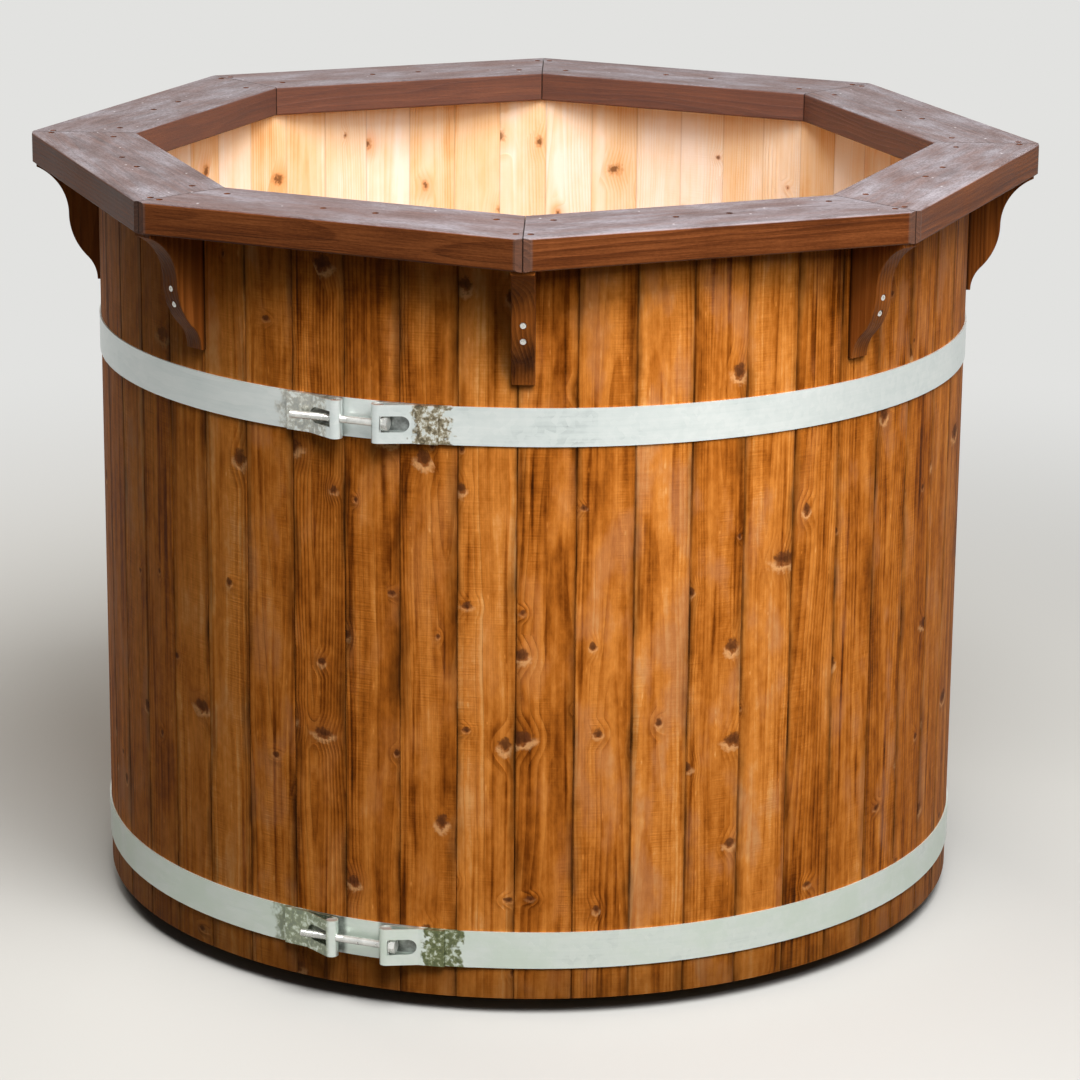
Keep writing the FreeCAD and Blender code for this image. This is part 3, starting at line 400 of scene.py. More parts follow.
def on_lower_hoop(f, z):
    """1 at the height of the lower hoop and 0 at the upper one."""
    return f.band(z, 0.5, 0.3)


def by_clamp(f, x, y):
    """The way along the hoop from the middle of the clamp, and 1 on the clamps' side of the tub."""
    return f.add(f.times(x, CLAMP_ALONG.x), f.times(y, CLAMP_ALONG.y)), f.band(y, -0.45, -0.5)


def zinc(f, x, y, z):
    """Galvanised strip: its colour, roughness and relief."""
    crystals = f.cells(f.times(f.add(x, y), ZINC_CRYSTALS), f.times(z, ZINC_CRYSTALS))[0]
    rubbed = f.noise(f.times(x, RUB_STREAKS[0]), f.times(y, RUB_STREAKS[0]), f.times(z, RUB_STREAKS[1]))
    bloom = f.noise(f.times(x, ZINC_BLOOM[0]), f.times(y, ZINC_BLOOM[0]), f.times(z, ZINC_BLOOM[1]),
                    detail=5.0, rough=0.62)
    tone = f.add(0.6, f.swing(crystals[0], 0.16), f.swing(rubbed, 0.36), f.swing(bloom, 0.9))
    green = f.times(on_lower_hoop(f, z), f.band(bloom, 0.35, 0.65, 0.25, 0.7))
    metal = f.mix(green, f.ramp(tone, *ZINC), GREENED_ZINC)
    roughness = f.add(0.36, f.swing(rubbed, 0.2), f.swing(bloom, 0.2))
    return metal, roughness, f.add(f.times(rubbed, 0.4), f.times(crystals[0], 0.2), f.times(bloom, 0.6))


SCALE_START = 0.0725
LOWER_SCALE_SHIFT = 0.014
SCALE_LENGTH = 0.048
SCALE_GRAIN = 140.0
SCALLOPS = 70.0
BROWN_SCALE = [(0.4, shade(234, 230, 218)), (0.47, shade(182, 172, 146)), (0.54, shade(134, 120, 90)),
               (0.64, shade(82, 70, 46))]
GREEN_SCALE = [(0.35, shade(158, 166, 118)), (0.5, shade(104, 112, 66)), (0.7, shade(62, 70, 34))]


def weld_stain(f, x, y, z, metal):
    """The mottled scale where the lugs were welded on, brown above and green below."""
    along, front = by_clamp(f, x, y)
    low = on_lower_hoop(f, z)
    start = f.math("MULTIPLY_ADD", low, LOWER_SCALE_SHIFT, SCALE_START)
    blots = f.speckle(along, y, z, SCALE_GRAIN, detail=4.0, rough=0.6)
    scallop = f.swing(f.noise(f.times(along, SCALLOPS), 2.0, f.times(z, SCALLOPS), detail=2.0), 0.055)
    reach = f.add(along, scallop)
    past_start = f.math("SUBTRACT", reach, start)
    right = f.times(f.band(past_start, -0.002, 0.003), f.band(past_start, SCALE_LENGTH, SCALE_LENGTH - 0.005))
    left = f.times(f.band(along, -0.037, -0.045), f.band(f.math("ADD", reach, start), -0.05, -0.036),
                   f.band(low, 0.0, 1.0, 0.55, 0.8))
    stain = f.times(front, f.math("MAXIMUM", right, left), f.band(blots, 0.34, 0.5, 0.25, 0.95))
    return f.mix(stain, metal, f.mix(low, f.ramp(blots, *BROWN_SCALE), f.ramp(blots, *GREEN_SCALE)))


# Dirt behind the lugs, with a painted shade in the hollow there.
GRIME_AND_SHADE = shade(84, 84, 80)
GRIME_SMEARS = 90.0


def lug_grime_and_shade(f, x, y, z, metal):
    """The dirt and dull zinc on the strip behind the lugs, out of the rain, darkened further as a painted
    shade in the hollow.
    """
    along, front = by_clamp(f, x, y)
    aside = f.math("ABSOLUTE", along)
    behind = f.times(front, f.band(aside, 0.02, 0.028), f.band(aside, 0.082, 0.074))
    smear = f.speckle(x, y, z, GRIME_SMEARS, detail=3.0)
    return f.mix(f.times(behind, f.band(smear, 0.3, 0.7, 0.5, 0.85)), metal, GRIME_AND_SHADE)


f = Finish("hoop_zinc")
x, y, z = f.place()
metal, roughness, relief = zinc(f, x, y, z)
metal = lug_grime_and_shade(f, x, y, z, weld_stain(f, x, y, z, metal))
dress(f.surface(metal, roughness, relief, 0.00025, Metallic=0.5), "upper_hoop_band", "lower_hoop_band")


# Lugs: one galvanised strip folded round its cross pin and welded to each end of a hoop, with a window in
# its outer leg for the bolt. The fold is smoother than the hoop, and the welded ends are stained.
f = Finish("lug_zinc")
x, y, z = f.place()
metal, roughness, relief = zinc(f, x, y, z)
dress(f.surface(weld_stain(f, x, y, z, metal), f.math("MULTIPLY_ADD", roughness, 0.3, 0.22), relief, 0.00006,
                Metallic=0.75),
      "upper_left_lug", "upper_right_lug", "lower_left_lug", "lower_right_lug")


# Pins and washers: short turned bars in the lugs' folds, the left ones threaded for the bolt, and a plain
# washer under each bolt's head. All are bright zinc plated.
TURNING_MARKS = 900.0
DULL_SPOTS = 60.0


def bright_metal(name, light, dark):
    """A bright finish with fine turning marks and dull spots."""
    f = Finish(name)
    x, y, z = f.place()
    marks = f.speckle(x, y, z, TURNING_MARKS, detail=2.0)
    dull = f.speckle(x, y, z, DULL_SPOTS, detail=4.0)
    colour = f.ramp(f.add(dull, f.swing(marks, 0.3)), (0.25, dark), (0.7, light))
    return f.surface(colour, f.add(0.3, f.swing(dull, 0.3)), marks, 0.00004, Metallic=0.7)


dress(bright_metal("pin_zinc", shade(226, 228, 226), shade(170, 174, 172)),
      "upper_threaded_pin", "upper_plain_pin", "lower_threaded_pin", "lower_plain_pin")
bolt_finish = bright_metal("bolt_zinc", shade(240, 240, 236), shade(188, 190, 186))
dress(bolt_finish, "upper_washer", "lower_washer")


# Bolts: a ten millimetre hexagon-headed bolt draws each hoop's lugs together. The head is chamfered, the
# shank is plain next to it, and the thread runs through the left pin and out into the left lug's window.
MERGE_GAP = 0.000005
CREASE = math.radians(32)


def drawn(name, outline):
    """A line drawn from point to point, each given by its radius and height."""
    bpy.ops.object.select_all(action="DESELECT")
    bpy.ops.mesh.primitive_plane_add(size=0.01, location=(0, 0, 0))
    piece = bpy.context.active_object
    piece.name = name
    bpy.ops.object.mode_set(mode="EDIT")
    bpy.ops.mesh.select_all(action="SELECT")
    bpy.ops.mesh.merge(type="CENTER")
    bpy.ops.transform.translate(value=(outline[0][0], 0, outline[0][1]))
    for (radius, height), (next_radius, next_height) in zip(outline, outline[1:]):
        step = (next_radius - radius, 0, next_height - height)
        bpy.ops.mesh.extrude_vertices_move(TRANSFORM_OT_translate={"value": step})
    bpy.ops.mesh.select_all(action="SELECT")
    return piece


def close_mesh():
    """Merges what meets, faces everything outwards and leaves edit mode."""
    bpy.ops.mesh.select_all(action="SELECT")
    bpy.ops.mesh.remove_doubles(threshold=MERGE_GAP)
    bpy.ops.mesh.normals_make_consistent(inside=False)
    bpy.ops.object.mode_set(mode="OBJECT")
    bpy.ops.object.shade_smooth_by_angle(angle=CREASE)


def turned(name, outline, steps=40):
    """A piece turned about Z from its half outline."""
    piece = drawn(name, outline)
    bpy.ops.mesh.spin(steps=steps, angle=2 * math.pi, center=(0, 0, 0), axis=(0, 0, 1))
    close_mesh()
    return piece


def settle(piece, placing):
    """Puts a piece in its place, which goes into its mesh."""
    bpy.ops.object.select_all(action="DESELECT")
    piece.matrix_world = placing
    piece.select_set(True)
    bpy.context.view_layer.objects.active = piece
    bpy.ops.object.transform_apply(location=True, rotation=True, scale=True)


def modify(piece, kind, **settings):
    """Applies one modifier to a piece."""
    bpy.ops.object.select_all(action="DESELECT")
    bpy.context.view_layer.objects.active = piece
    bpy.ops.object.modifier_add(type=kind)
    for name, value in settings.items():
        setattr(piece.modifiers[-1], name, value)
    bpy.ops.object.modifier_apply(modifier=piece.modifiers[-1].name)


def cut(piece, tool, operation):
    """Shapes a piece with a tool and takes the tool away."""
    modify(piece, "BOOLEAN", operation=operation, object=tool)
    bpy.data.objects.remove(tool)


def join_up(name, pieces):
    """Makes several pieces into one."""
    bpy.ops.object.select_all(action="DESELECT")
    for piece in pieces:
        piece.select_set(True)
    bpy.context.view_layer.objects.active = pieces[0]
    bpy.ops.object.join()
    pieces[0].name = name
    return pieces[0]


def fit(piece, finish, body, node):
    """Gives a finished piece its finish, its body and the node that it stands for."""
    piece.data.materials.clear()
    piece.data.materials.append(finish)
    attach(piece, body)
    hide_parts(node)


BOLT_RADIUS = 0.00496
BOLT_POINT = 0.0036
THREAD_ROOT = 0.00425
THREAD_SUNK = 0.0001
THREAD_PITCH = 0.0015
THREAD_START = 0.001
THREAD_FLANK = 0.0006
THREAD_CREST = 0.0002
POINT_CHAMFER = 0.0007
SHANK_CHAMFER = 0.0008
CORE_OVERLAP = 0.0002
HEAD_ACROSS = 0.016
HEAD_HEIGHT = 0.0064
HEAD_CORNER = 0.0098
HEAD_FACE = 0.0074
HEAD_CHAMFER = 0.0012
OVERLAP = 0.001
BOLT_AXIS_RADIUS = 0.61384

# Each bolt's height, and how far its head's foot, its tail and its thread's end lie from the clamp's middle.
HOOP_CLAMPS = {"upper": (0.793, 0.0371, -0.0926, -0.0125), "lower": (0.091, 0.0466, -0.0831, -0.0220)}

for hoop, (height, head_foot, tail_end, thread_end) in HOOP_CLAMPS.items():
    bpy.ops.object.select_all(action="DESELECT")
    bpy.ops.mesh.primitive_cylinder_add(vertices=6, radius=HEAD_ACROSS / 2 / math.cos(math.pi / 6),
                                        depth=HEAD_HEIGHT)
    head = bpy.context.active_object
    settle(head, Matrix.Translation((0, 0, head_foot + HEAD_HEIGHT / 2)))
    head_top = head_foot + HEAD_HEIGHT
    cut(head, turned("head_chamfer", [
        (0, head_foot - OVERLAP), (HEAD_CORNER, head_foot - OVERLAP), (HEAD_CORNER, head_top - HEAD_CHAMFER),
        (HEAD_FACE, head_top), (0, head_top)]), "INTERSECT")
    shank = turned("shank", [
        (0, thread_end), (THREAD_ROOT, thread_end), (BOLT_RADIUS, thread_end + SHANK_CHAMFER),
        (BOLT_RADIUS, head_foot + OVERLAP), (0, head_foot + OVERLAP)], steps=32)
    core = turned("core", [
        (0, tail_end), (BOLT_POINT, tail_end), (THREAD_ROOT, tail_end + POINT_CHAMFER),
        (THREAD_ROOT, thread_end + CORE_OVERLAP), (0, thread_end + CORE_OVERLAP)], steps=32)
    sunk_root = THREAD_ROOT - THREAD_SUNK
    thread_start = tail_end + THREAD_START
    crest = thread_start + THREAD_FLANK
    thread = drawn("thread", [
        (sunk_root, thread_start), (BOLT_RADIUS, crest), (BOLT_RADIUS, crest + THREAD_CREST),
        (sunk_root, crest + THREAD_CREST + THREAD_FLANK), (sunk_root, thread_start + THREAD_PITCH)])
    bpy.ops.object.mode_set(mode="OBJECT")
    modify(thread, "SCREW", axis="Z", angle=2 * math.pi, screw_offset=THREAD_PITCH, steps=18,
           render_steps=18, iterations=int((thread_end - thread_start) / THREAD_PITCH))
    bpy.ops.object.mode_set(mode="EDIT")
    close_mesh()
    bolt = join_up(f"{hoop}_hexagon_bolt", [head, shank, core, thread])
    settle(bolt, Matrix.Translation(CLAMP_OUT * BOLT_AXIS_RADIUS + Vector((0, 0, height)))
           @ Matrix((Vector((0, 0, 1)), CLAMP_OUT, CLAMP_ALONG)).transposed().to_4x4())
    fit(bolt, bolt_finish, f"{hoop}_bolt", f"{hoop}_bolt")


# Brackets: eight shaped boards of stained softwood, on edge under the corners of the rim and screwed to
# the staves. The curve is sawn and sanded, and the stain is darker on it than on the staves.
RIM_TURN = 45.0
BRACKET_MIDDLE = 0.64
BRACKET_RING = 0.0045
BRACKET_KNOT = 0.007
BRACKET_KNOT_SHARE = 0.2
BRACKET_SEED = 500.0
BRACKET_STAIN = [(0.0, shade(78, 37, 10)), (0.4, shade(138, 76, 28)), (0.75, shade(176, 105, 48)),
                 (1.0, shade(200, 134, 76))]
BRACKET_HEART = shade(30, 14, 6)
BRACKET_JOINT_STAIN_AND_SHADE = shade(30, 13, 4)

f = Finish("bracket_stain")
x, y, z = f.place()
radius, turn = polar(f, x, y)
count = f.math("MULTIPLY_ADD", turn, 1 / RIM_TURN, 8.5)
number = f.math("FLOORED_MODULO", f.math("FLOOR", count), 360 / RIM_TURN)
swung = f.math("RADIANS", f.swing(f.math("FRACT", count), RIM_TURN))
out = f.times(radius, f.math("COSINE", swung))
across = f.times(radius, f.math("SINE", swung))
seeds = f.chance(f.add(number, BRACKET_SEED))
from_middle = f.add(out, -BRACKET_MIDDLE)
_, heart, _, _, swell = knots(f, from_middle, z, seeds, BRACKET_KNOT_SHARE, BRACKET_KNOT)
rings, streaks, fibres = timber(f, from_middle, across, z, seeds, swell, BRACKET_RING)
tone = f.add(0.5, f.swing(streaks, 1.0), f.times(rings, -0.2), f.swing(fibres, 0.4), f.swing(seeds[2], 0.2))
brown = f.mix(f.times(heart, 0.8), f.ramp(tone, *BRACKET_STAIN), BRACKET_HEART)
# A dark band where the bracket meets the stave: stain gathered in the joint and a painted contact shadow.
brown = f.mix(f.band(out, SHELL_RADIUS + 0.006, SHELL_RADIUS + 0.0015, 0.0, 0.85), brown, BRACKET_JOINT_STAIN_AND_SHADE)
dress(f.surface(brown, f.add(0.45, f.swing(fibres, 0.2)), f.add(rings, fibres), 0.0004,
                Specular_IOR_Level=0.08),
      *[f"bracket_{n}" for n in range(1, 9)])


# Rim: eight flat boards mitred into a ring on top of the staves and brackets, with blunted corners. The
# stain is red-brown, and sun and rain have turned the top grey. A painted sheen lightens the grey top, the
# blunted corners and the top outer arris further.
RIM_TOP = 1.053
RIM_FOOT = 1.011
RIM_MIDDLE = 0.577
RIM_OUTSIDE = 0.645
RIM_INSIDE = 0.509
RIM_CORNER = 0.6942
RIM_RING = 0.0045
RIM_SEED = 600.0
RIM_GRIT = (420.0, 150.0)
RIM_WEATHER = (26.0, 9.0)
FLECKS = 34.0

RIM_STAIN = [(0.0, shade(48, 20, 6)), (0.35, shade(90, 45, 17)), (0.65, shade(124, 69, 34)),
             (1.0, shade(162, 102, 60))]
RIM_WEATHERING_AND_SHEEN = [(0.3, shade(82, 77, 81)), (0.55, shade(122, 117, 123)), (0.85, shade(168, 164, 173))]
CORNER_WEAR_AND_SHEEN = shade(100, 80, 72)
INNER_FACE = shade(104, 80, 76)
GRIT = shade(54, 36, 34)
FLECK = shade(226, 222, 226)
UPPER_ARRIS_WEAR_AND_HIGHLIGHT = shade(158, 140, 140)
LOWER_ARRIS = shade(156, 112, 84)
MITRE = shade(34, 18, 12)

f = Finish("rim_stain")
x, y, z = f.place()
radius, turn = polar(f, x, y)
count = f.math("MULTIPLY_ADD", turn, 1 / RIM_TURN, 8.0)
number = f.math("FLOORED_MODULO", f.math("FLOOR", count), 360 / RIM_TURN)
swung = f.math("RADIANS", f.swing(f.math("FRACT", count), RIM_TURN))
out = f.times(radius, f.math("COSINE", swung))
along = f.times(radius, f.math("SINE", swung))
to_mitre = f.math("SUBTRACT", math.radians(RIM_TURN / 2), f.math("ABSOLUTE", swung))
mitre = f.times(radius, f.math("SINE", to_mitre))
corner = f.band(f.times(radius, f.math("COSINE", to_mitre)), RIM_CORNER - 0.0015, RIM_CORNER - 0.0005)
top = f.facing_up()
seeds = f.chance(f.add(number, RIM_SEED))
rings, streaks, fibres = timber(f, f.add(out, -RIM_MIDDLE), f.add(z, -RIM_TOP), along, seeds, 0.0, RIM_RING)
weather = figure(f, RIM_WEATHER, out, f.times(number, 9.1), along, detail=5.0, rough=0.62)
grit = f.noise(f.times(out, RIM_GRIT[0]), f.times(z, RIM_GRIT[0]), f.times(along, RIM_GRIT[1]),
               detail=2.0, rough=0.7)

tone = f.add(0.5, f.swing(streaks, 0.6), f.times(rings, -0.16), f.swing(fibres, 0.7),
             f.swing(weather, 0.35), f.swing(grit, 0.3), f.swing(seeds[2], 0.1))
brown = f.ramp(tone, *RIM_STAIN)
# The blunted corners are lighter: wear, with a painted sheen.
brown = f.mix(f.times(corner, 0.55), brown, CORNER_WEAR_AND_SHEEN)
brown = f.mix(f.band(out, RIM_INSIDE + 0.002, RIM_INSIDE + 0.0005, 0.0, 0.55), brown, INNER_FACE)
# The grey top: weathering, lightened further as a painted sheen.
grey = f.ramp(f.add(f.math("MULTIPLY_ADD", weather, 0.7, -0.1), f.times(grit, 0.6), f.swing(fibres, 0.5)),
              *RIM_WEATHERING_AND_SHEEN)
brown = f.mix(f.times(top, f.band(weather, 0.3, 0.7, 0.5, 0.9)), brown, grey)
brown = f.mix(f.times(top, f.band(grit, 0.66, 0.74, 0.0, 0.55)), brown, GRIT)
numbers, right, up = f.cells(f.times(out, FLECKS),
                             f.math("MULTIPLY_ADD", number, 17.3, f.times(along, FLECKS)))
fleck = f.times(top, f.band(numbers[0], 0.09, 0.08),
                f.band(f.length(right, up), f.math("MULTIPLY_ADD", numbers[1], 0.06, 0.03), 0.01))
brown = f.mix(fleck, brown, FLECK)
# A pale line along the top outer arris: wear, with a painted highlight on the eased edge.
worn_and_lit_upper_arris = f.times(f.band(out, RIM_OUTSIDE - 0.0045, RIM_OUTSIDE - 0.001),
                      f.band(z, RIM_TOP - 0.0022, RIM_TOP - 0.0008))
brown = f.mix(f.times(worn_and_lit_upper_arris, f.band(weather, 0.42, 0.62, 0.0, 0.55)), brown, UPPER_ARRIS_WEAR_AND_HIGHLIGHT)
lower_arris = f.times(f.band(out, RIM_OUTSIDE - 0.002, RIM_OUTSIDE - 0.0005),
                      f.band(z, RIM_FOOT + 0.0022, RIM_FOOT + 0.0006))
brown = f.mix(f.times(lower_arris, f.band(weather, 0.4, 0.6, 0.0, 0.6)), brown, LOWER_ARRIS)
brown = f.mix(f.band(mitre, 0.0014, 0.0004, 0.0, 0.85), brown, MITRE)
sheen = f.add(f.swing(weather, 0.2), f.swing(fibres, 0.15), f.times(top, -0.04), 0.48)
relief = f.times(f.add(f.times(rings, 0.5), fibres, f.times(grit, 0.5)),
                 f.math("MULTIPLY_ADD", top, 0.4, 0.6))
dress(f.surface(brown, sheen, relief, 0.0007, Specular_IOR_Level=0.12),
      *[f"rim_board_{n}" for n in range(1, 9)])


# Screws: flat-headed wood screws with a cross recess, sunk through the rim boards into the staves and
# brackets, two through each bracket into a stave, and more up through the bearers. They are plain stainless
# steel; those in the brackets are given a near-white colour as a painted highlight.
SCREW_HEAD = 0.0042
SCREW_SHANK = 0.0025
SCREW_POINT = 0.0004
SCREW_TAPER = 0.005
SCREW_HEAD_HEIGHT = 0.0032
SCREW_EDGE = 0.0006
SCREW_UNDERSIDE = 0.0002
RECESS = (0.0047, 0.0011, 0.0036)


def screw(name, length):
    """One screw standing on Z, with its seat at zero."""
    piece = turned(name, [
        (0, -length), (SCREW_POINT, -length), (SCREW_SHANK, SCREW_TAPER - length), (SCREW_SHANK, 0),
        (SCREW_HEAD, SCREW_UNDERSIDE), (SCREW_HEAD, SCREW_HEAD_HEIGHT - SCREW_EDGE),
        (SCREW_HEAD - SCREW_EDGE, SCREW_HEAD_HEIGHT), (0, SCREW_HEAD_HEIGHT)], steps=24)
    for sides in (RECESS, (RECESS[1], RECESS[0], RECESS[2])):
        bpy.ops.object.select_all(action="DESELECT")
        bpy.ops.mesh.primitive_cube_add(size=1.0)
        slot_cutter = bpy.context.active_object
        settle(slot_cutter, Matrix.Translation((0, 0, SCREW_HEAD_HEIGHT)) @ Matrix.Diagonal((*sides, 1.0)))
        cut(piece, slot_cutter, "DIFFERENCE")
    return piece


def copies(model, placings):
    """Copies of one piece at each placing, in place of the one modelled."""
    pieces = []
    for placing in placings:
        copy = model.copy()
        copy.data = model.data.copy()
        bpy.context.collection.objects.link(copy)
        settle(copy, placing)
        pieces.append(copy)
    bpy.data.objects.remove(model)
    return pieces


def about_axis(degrees):
    """A turn about the tub's axis."""
    return Matrix.Rotation(math.radians(degrees), 4, "Z")


RIM_SEAT = 1.0468
STAVE_TOP_RADIUS = 0.579
STAVE_SCREW_TURNS = (-19, -3.6, 3.6, 19)
STAVE_SCREW_LENGTH = 0.0858
TIP_RADIUS = 0.6672
TIP_ASIDE = 0.009
TIP_SCREW_LENGTH = 0.0488
HALF_CORNER = math.radians(RIM_TURN / 2)

screw_finish = bright_metal("screw_steel", shade(196, 192, 184), shade(120, 114, 106))
boards = [RIM_TURN * (n + 0.5) for n in range(8)]
stave_places = [about_axis(board + offset) @ Matrix.Translation((STAVE_TOP_RADIUS, 0, RIM_SEAT))
                for board in boards for offset in STAVE_SCREW_TURNS]
tip_out = TIP_RADIUS * math.cos(HALF_CORNER) + TIP_ASIDE * math.sin(HALF_CORNER)
tip_along = TIP_RADIUS * math.sin(HALF_CORNER) - TIP_ASIDE * math.cos(HALF_CORNER)
tip_places = [about_axis(board) @ Matrix.Translation((tip_out, side * tip_along, RIM_SEAT))
              for board in boards for side in (-1, 1)]
rim_screws = join_up("rim_wood_screws", copies(screw("rim_screw", STAVE_SCREW_LENGTH), stave_places)
                     + copies(screw("rim_tip_screw", TIP_SCREW_LENGTH), tip_places))
fit(rim_screws, screw_finish, "tub", "rim_screws")

# How high each bracket's screws are, and how far out their heads sit.
BRACKET_SEATS = ((0.912, 0.6362), (0.933, 0.6409))
BRACKET_SCREW_BITE = 0.028

outwards = Matrix.Rotation(math.radians(90), 4, "Y")
bracket_screws = []
for height, seat in BRACKET_SEATS:
    places = [about_axis(RIM_TURN * n) @ Matrix.Translation((seat, 0, height)) @ outwards for n in range(8)]
    bracket_screws += copies(screw("bracket_screw", seat - SHELL_RADIUS + BRACKET_SCREW_BITE), places)
# The bracket screws' near-white colour is a painted highlight.
fit(join_up("bracket_wood_screws", bracket_screws),
    bright_metal("bracket_screw_glint_steel", shade(252, 250, 244), shade(222, 220, 212)),
    "tub", "bracket_screws")
dress(screw_finish, "bearer_screws")


# Drain: a flanged waste turned from stainless steel, clamped through a floor board by its locknut on a
# rubber gasket, with a turned plug that lifts out by its knob and seals on a rubber ring.
DRAIN_PLACE = 0.174898
LATHE_MARKS = 1900.0
STEEL_SMEARS = 70.0
RUBBER_DUST = 160.0
TURNED_STEEL = [(0.25, shade(150, 150, 150)), (0.75, shade(212, 212, 210))]
RUBBER = [(0.3, shade(22, 22, 23)), (0.8, shade(58, 57, 55))]

f = Finish("drain_steel")
x, y, z = f.place()
ring = f.length(f.add(x, -DRAIN_PLACE), y)
lathe = f.noise(f.times(ring, LATHE_MARKS), 0.0, f.times(z, LATHE_MARKS), detail=2.0)
smear = f.speckle(x, y, z, STEEL_SMEARS, detail=4.0)
steel = f.ramp(f.add(smear, f.swing(lathe, 0.3)), *TURNED_STEEL)
drain_finish = f.surface(steel, f.add(0.28, f.swing(smear, 0.2)), lathe, 0.00003, Metallic=0.9)
dress(drain_finish, "drain_locknut")

f = Finish("seal_rubber")
x, y, z = f.place()
dust = f.speckle(x, y, z, RUBBER_DUST, detail=4.0)
dress(f.surface(f.ramp(dust, *RUBBER), f.add(0.55, f.swing(dust, 0.3)), dust, 0.0002),
      "drain_gasket", "drain_plug_seal")

# The waste's and the plug's radii, and the heights where they change.
BORE, SPIGOT, BARREL, SEAL_SEAT, FLANGE = 0.019, 0.0225, 0.024, 0.0275, 0.040
SPIGOT_FOOT, BARREL_FOOT, FLANGE_FOOT, FLANGE_TOP = 0.015, 0.053, 0.115, 0.119
PLUG_SHANK, PLUG_CAP, KNOB_NECK, KNOB = 0.0187, 0.027, 0.006, 0.013
PLUG_FOOT, CAP_FOOT, CAP_TOP, NECK_FOOT, NECK_TOP, KNOB_TOP = 0.1035, 0.1215, 0.1265, 0.1305, 0.134, 0.1455
LEAD_IN = 0.0015
CAP_EDGE = 0.002

waste = turned("turned_drain_waste", [
    (BORE, SPIGOT_FOOT), (SPIGOT, SPIGOT_FOOT), (SPIGOT, BARREL_FOOT), (BARREL, BARREL_FOOT),
    (BARREL, FLANGE_FOOT), (FLANGE, FLANGE_FOOT), (FLANGE, FLANGE_TOP - 0.0025),
    (FLANGE - 0.0015, FLANGE_TOP - 0.0005), (FLANGE - 0.004, FLANGE_TOP), (SEAL_SEAT, FLANGE_TOP),
    (BORE, FLANGE_TOP), (BORE, SPIGOT_FOOT)], steps=64)
settle(waste, Matrix.Translation((DRAIN_PLACE, 0, 0)))
fit(waste, drain_finish, "tub", "drain_waste")
plug = turned("turned_drain_plug", [
    (0, PLUG_FOOT), (PLUG_SHANK - LEAD_IN, PLUG_FOOT), (PLUG_SHANK, PLUG_FOOT + LEAD_IN),
    (PLUG_SHANK, CAP_FOOT), (PLUG_CAP, CAP_FOOT), (PLUG_CAP, CAP_TOP - CAP_EDGE),
    (PLUG_CAP - CAP_EDGE, CAP_TOP), (KNOB_NECK + 0.004, CAP_TOP), (KNOB_NECK + 0.0012, CAP_TOP + 0.0015),
    (KNOB_NECK, NECK_FOOT), (KNOB_NECK, NECK_TOP), (KNOB_NECK + 0.0015, NECK_TOP + 0.0022),
    (KNOB - 0.0015, KNOB_TOP - 0.0085), (KNOB, KNOB_TOP - 0.0065), (KNOB, KNOB_TOP - 0.0035),
    (KNOB - 0.0015, KNOB_TOP - 0.0011), (KNOB - 0.005, KNOB_TOP), (0, KNOB_TOP)], steps=64)
settle(plug, Matrix.Translation((DRAIN_PLACE, 0, 0)))
fit(plug, drain_finish, "drain_plug", "drain_plug")


# Studio: a pale floor that runs into a backdrop of one colour, a large soft lamp high in front to the right,
# a small one below it and a warm one behind to the left, and the camera at the photograph's place.
BACKDROP = shade(226, 226, 224)
GROUND_LIT = shade(78, 78, 72)
GROUND_SEEN = shade(196, 196, 194)
GROUND_SIZE = 60.0
GROUND_FADE = (0.9, 3.2)
GROUND_MOTTLE = 0.7
SKY_TINT = (1.0, 0.97, 0.92, 1.0)
SKY_LIGHT = 0.05
SEEN_RAYS = ("Is Camera Ray", "Is Glossy Ray", "Is Transmission Ray")

bpy.ops.object.select_all(action="DESELECT")
bpy.ops.mesh.primitive_grid_add(x_subdivisions=8, y_subdivisions=8, size=GROUND_SIZE, location=(0, 0, 0))
floor = bpy.context.active_object
floor.name = "studio_floor"
f = Finish("studio_floor")
x, y, _ = f.place()
rays = f.node("ShaderNodeLightPath", {})
camera_ray, glossy_ray, transmission_ray = [rays[name] for name in SEEN_RAYS]
seen = f.math("MAXIMUM", f.math("MAXIMUM", camera_ray, glossy_ray), transmission_ray)
mottle = f.noise(f.times(x, GROUND_MOTTLE), f.times(y, GROUND_MOTTLE), 0.0)
far = f.times(seen, f.band(f.length(x, y), *GROUND_FADE))
pale = f.mix(seen, GROUND_LIT, GROUND_SEEN)
pale = f.mix(far, pale, (0.0, 0.0, 0.0, 1.0))
floor.data.materials.append(f.surface(
    pale, f.band(mottle, 0.3, 0.7, 0.85, 0.95), mottle, 0.0001, Specular_IOR_Level=0.0,
    Emission_Color=BACKDROP, Emission_Strength=far))

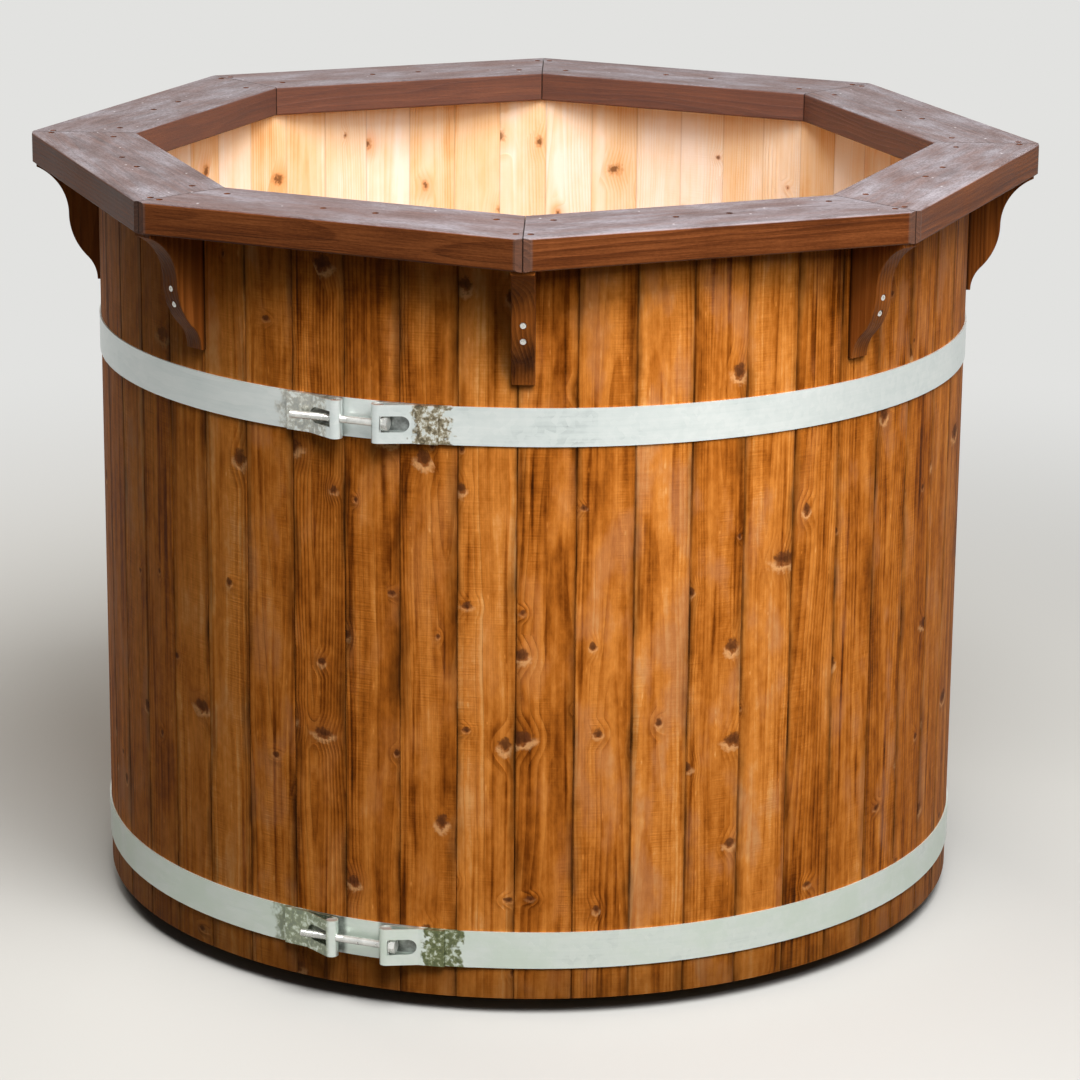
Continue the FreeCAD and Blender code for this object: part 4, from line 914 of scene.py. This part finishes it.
sky = bpy.data.worlds.new("studio_sky")
sky.use_nodes = True
sky_nodes, sky_links = sky.node_tree.nodes, sky.node_tree.links
sky_nodes.clear()
sky_rays = sky_nodes.new("ShaderNodeLightPath")
sky_seen = sky_rays.outputs[SEEN_RAYS[0]]
for name in SEEN_RAYS[1:]:
    either = sky_nodes.new("ShaderNodeMath")
    either.operation = "MAXIMUM"
    sky_links.new(sky_seen, either.inputs[0])
    sky_links.new(sky_rays.outputs[name], either.inputs[1])
    sky_seen = either.outputs[0]
choose = sky_nodes.new("ShaderNodeMixShader")
sky_links.new(sky_seen, choose.inputs[0])
for place, colour, strength in ((1, SKY_TINT, SKY_LIGHT), (2, BACKDROP, 1.0)):
    light = sky_nodes.new("ShaderNodeBackground")
    light.inputs["Color"].default_value = colour
    light.inputs["Strength"].default_value = strength
    sky_links.new(light.outputs[0], choose.inputs[place])
sky_out = sky_nodes.new("ShaderNodeOutputWorld")
sky_links.new(choose.outputs[0], sky_out.inputs[0])
bpy.context.scene.world = sky

# Each lamp's turn to the right and height in degrees, distance, power, size and tint.
LAMPS = {"key_lamp": (21, 58, 4.6, 292, 2.6, (1.0, 0.985, 0.96)),
         "front_lamp": (28, 36, 2.7, 28, 1.2, (1.0, 0.99, 0.97)),
         "back_lamp": (218, 38, 4.0, 80, 2.2, (1.0, 0.94, 0.85))}
LAMP_AIM = Vector((0, 0, 0.55))

for name, (turn, height, distance, power, size, tint) in LAMPS.items():
    lamp = bpy.data.lights.new(name, "AREA")
    lamp.energy = power
    lamp.size = size
    lamp.color = tint
    holder = bpy.data.objects.new(name, lamp)
    bpy.context.collection.objects.link(holder)
    turn, height = math.radians(turn), math.radians(height)
    towards = Vector((math.sin(turn) * math.cos(height), -math.cos(turn) * math.cos(height),
                      math.sin(height)))
    holder.location = LAMP_AIM + towards * distance
    holder.rotation_euler = towards.to_track_quat("Z", "Y").to_euler()
    holder.visible_glossy = name == "key_lamp"

CAMERA_PLACE = (0.10298, -5.41155, 2.0214)
CAMERA_TURN = math.radians(0.9574)
CAMERA_TILT = math.radians(90 - 15.945)
CAMERA_ROLL = math.radians(0.5287)
CAMERA_LENS = 132.11
CAMERA_SENSOR = 36.0

lens = bpy.data.cameras.new("camera")
lens.lens = CAMERA_LENS
lens.sensor_width = CAMERA_SENSOR
camera = bpy.data.objects.new("camera", lens)
bpy.context.collection.objects.link(camera)
camera.matrix_world = (Matrix.Translation(CAMERA_PLACE) @ Matrix.Rotation(CAMERA_TURN, 4, "Z")
                       @ Matrix.Rotation(CAMERA_TILT, 4, "X") @ Matrix.Rotation(CAMERA_ROLL, 4, "Z"))
bpy.context.scene.camera = camera
bpy.context.scene.view_settings.view_transform = "Standard"
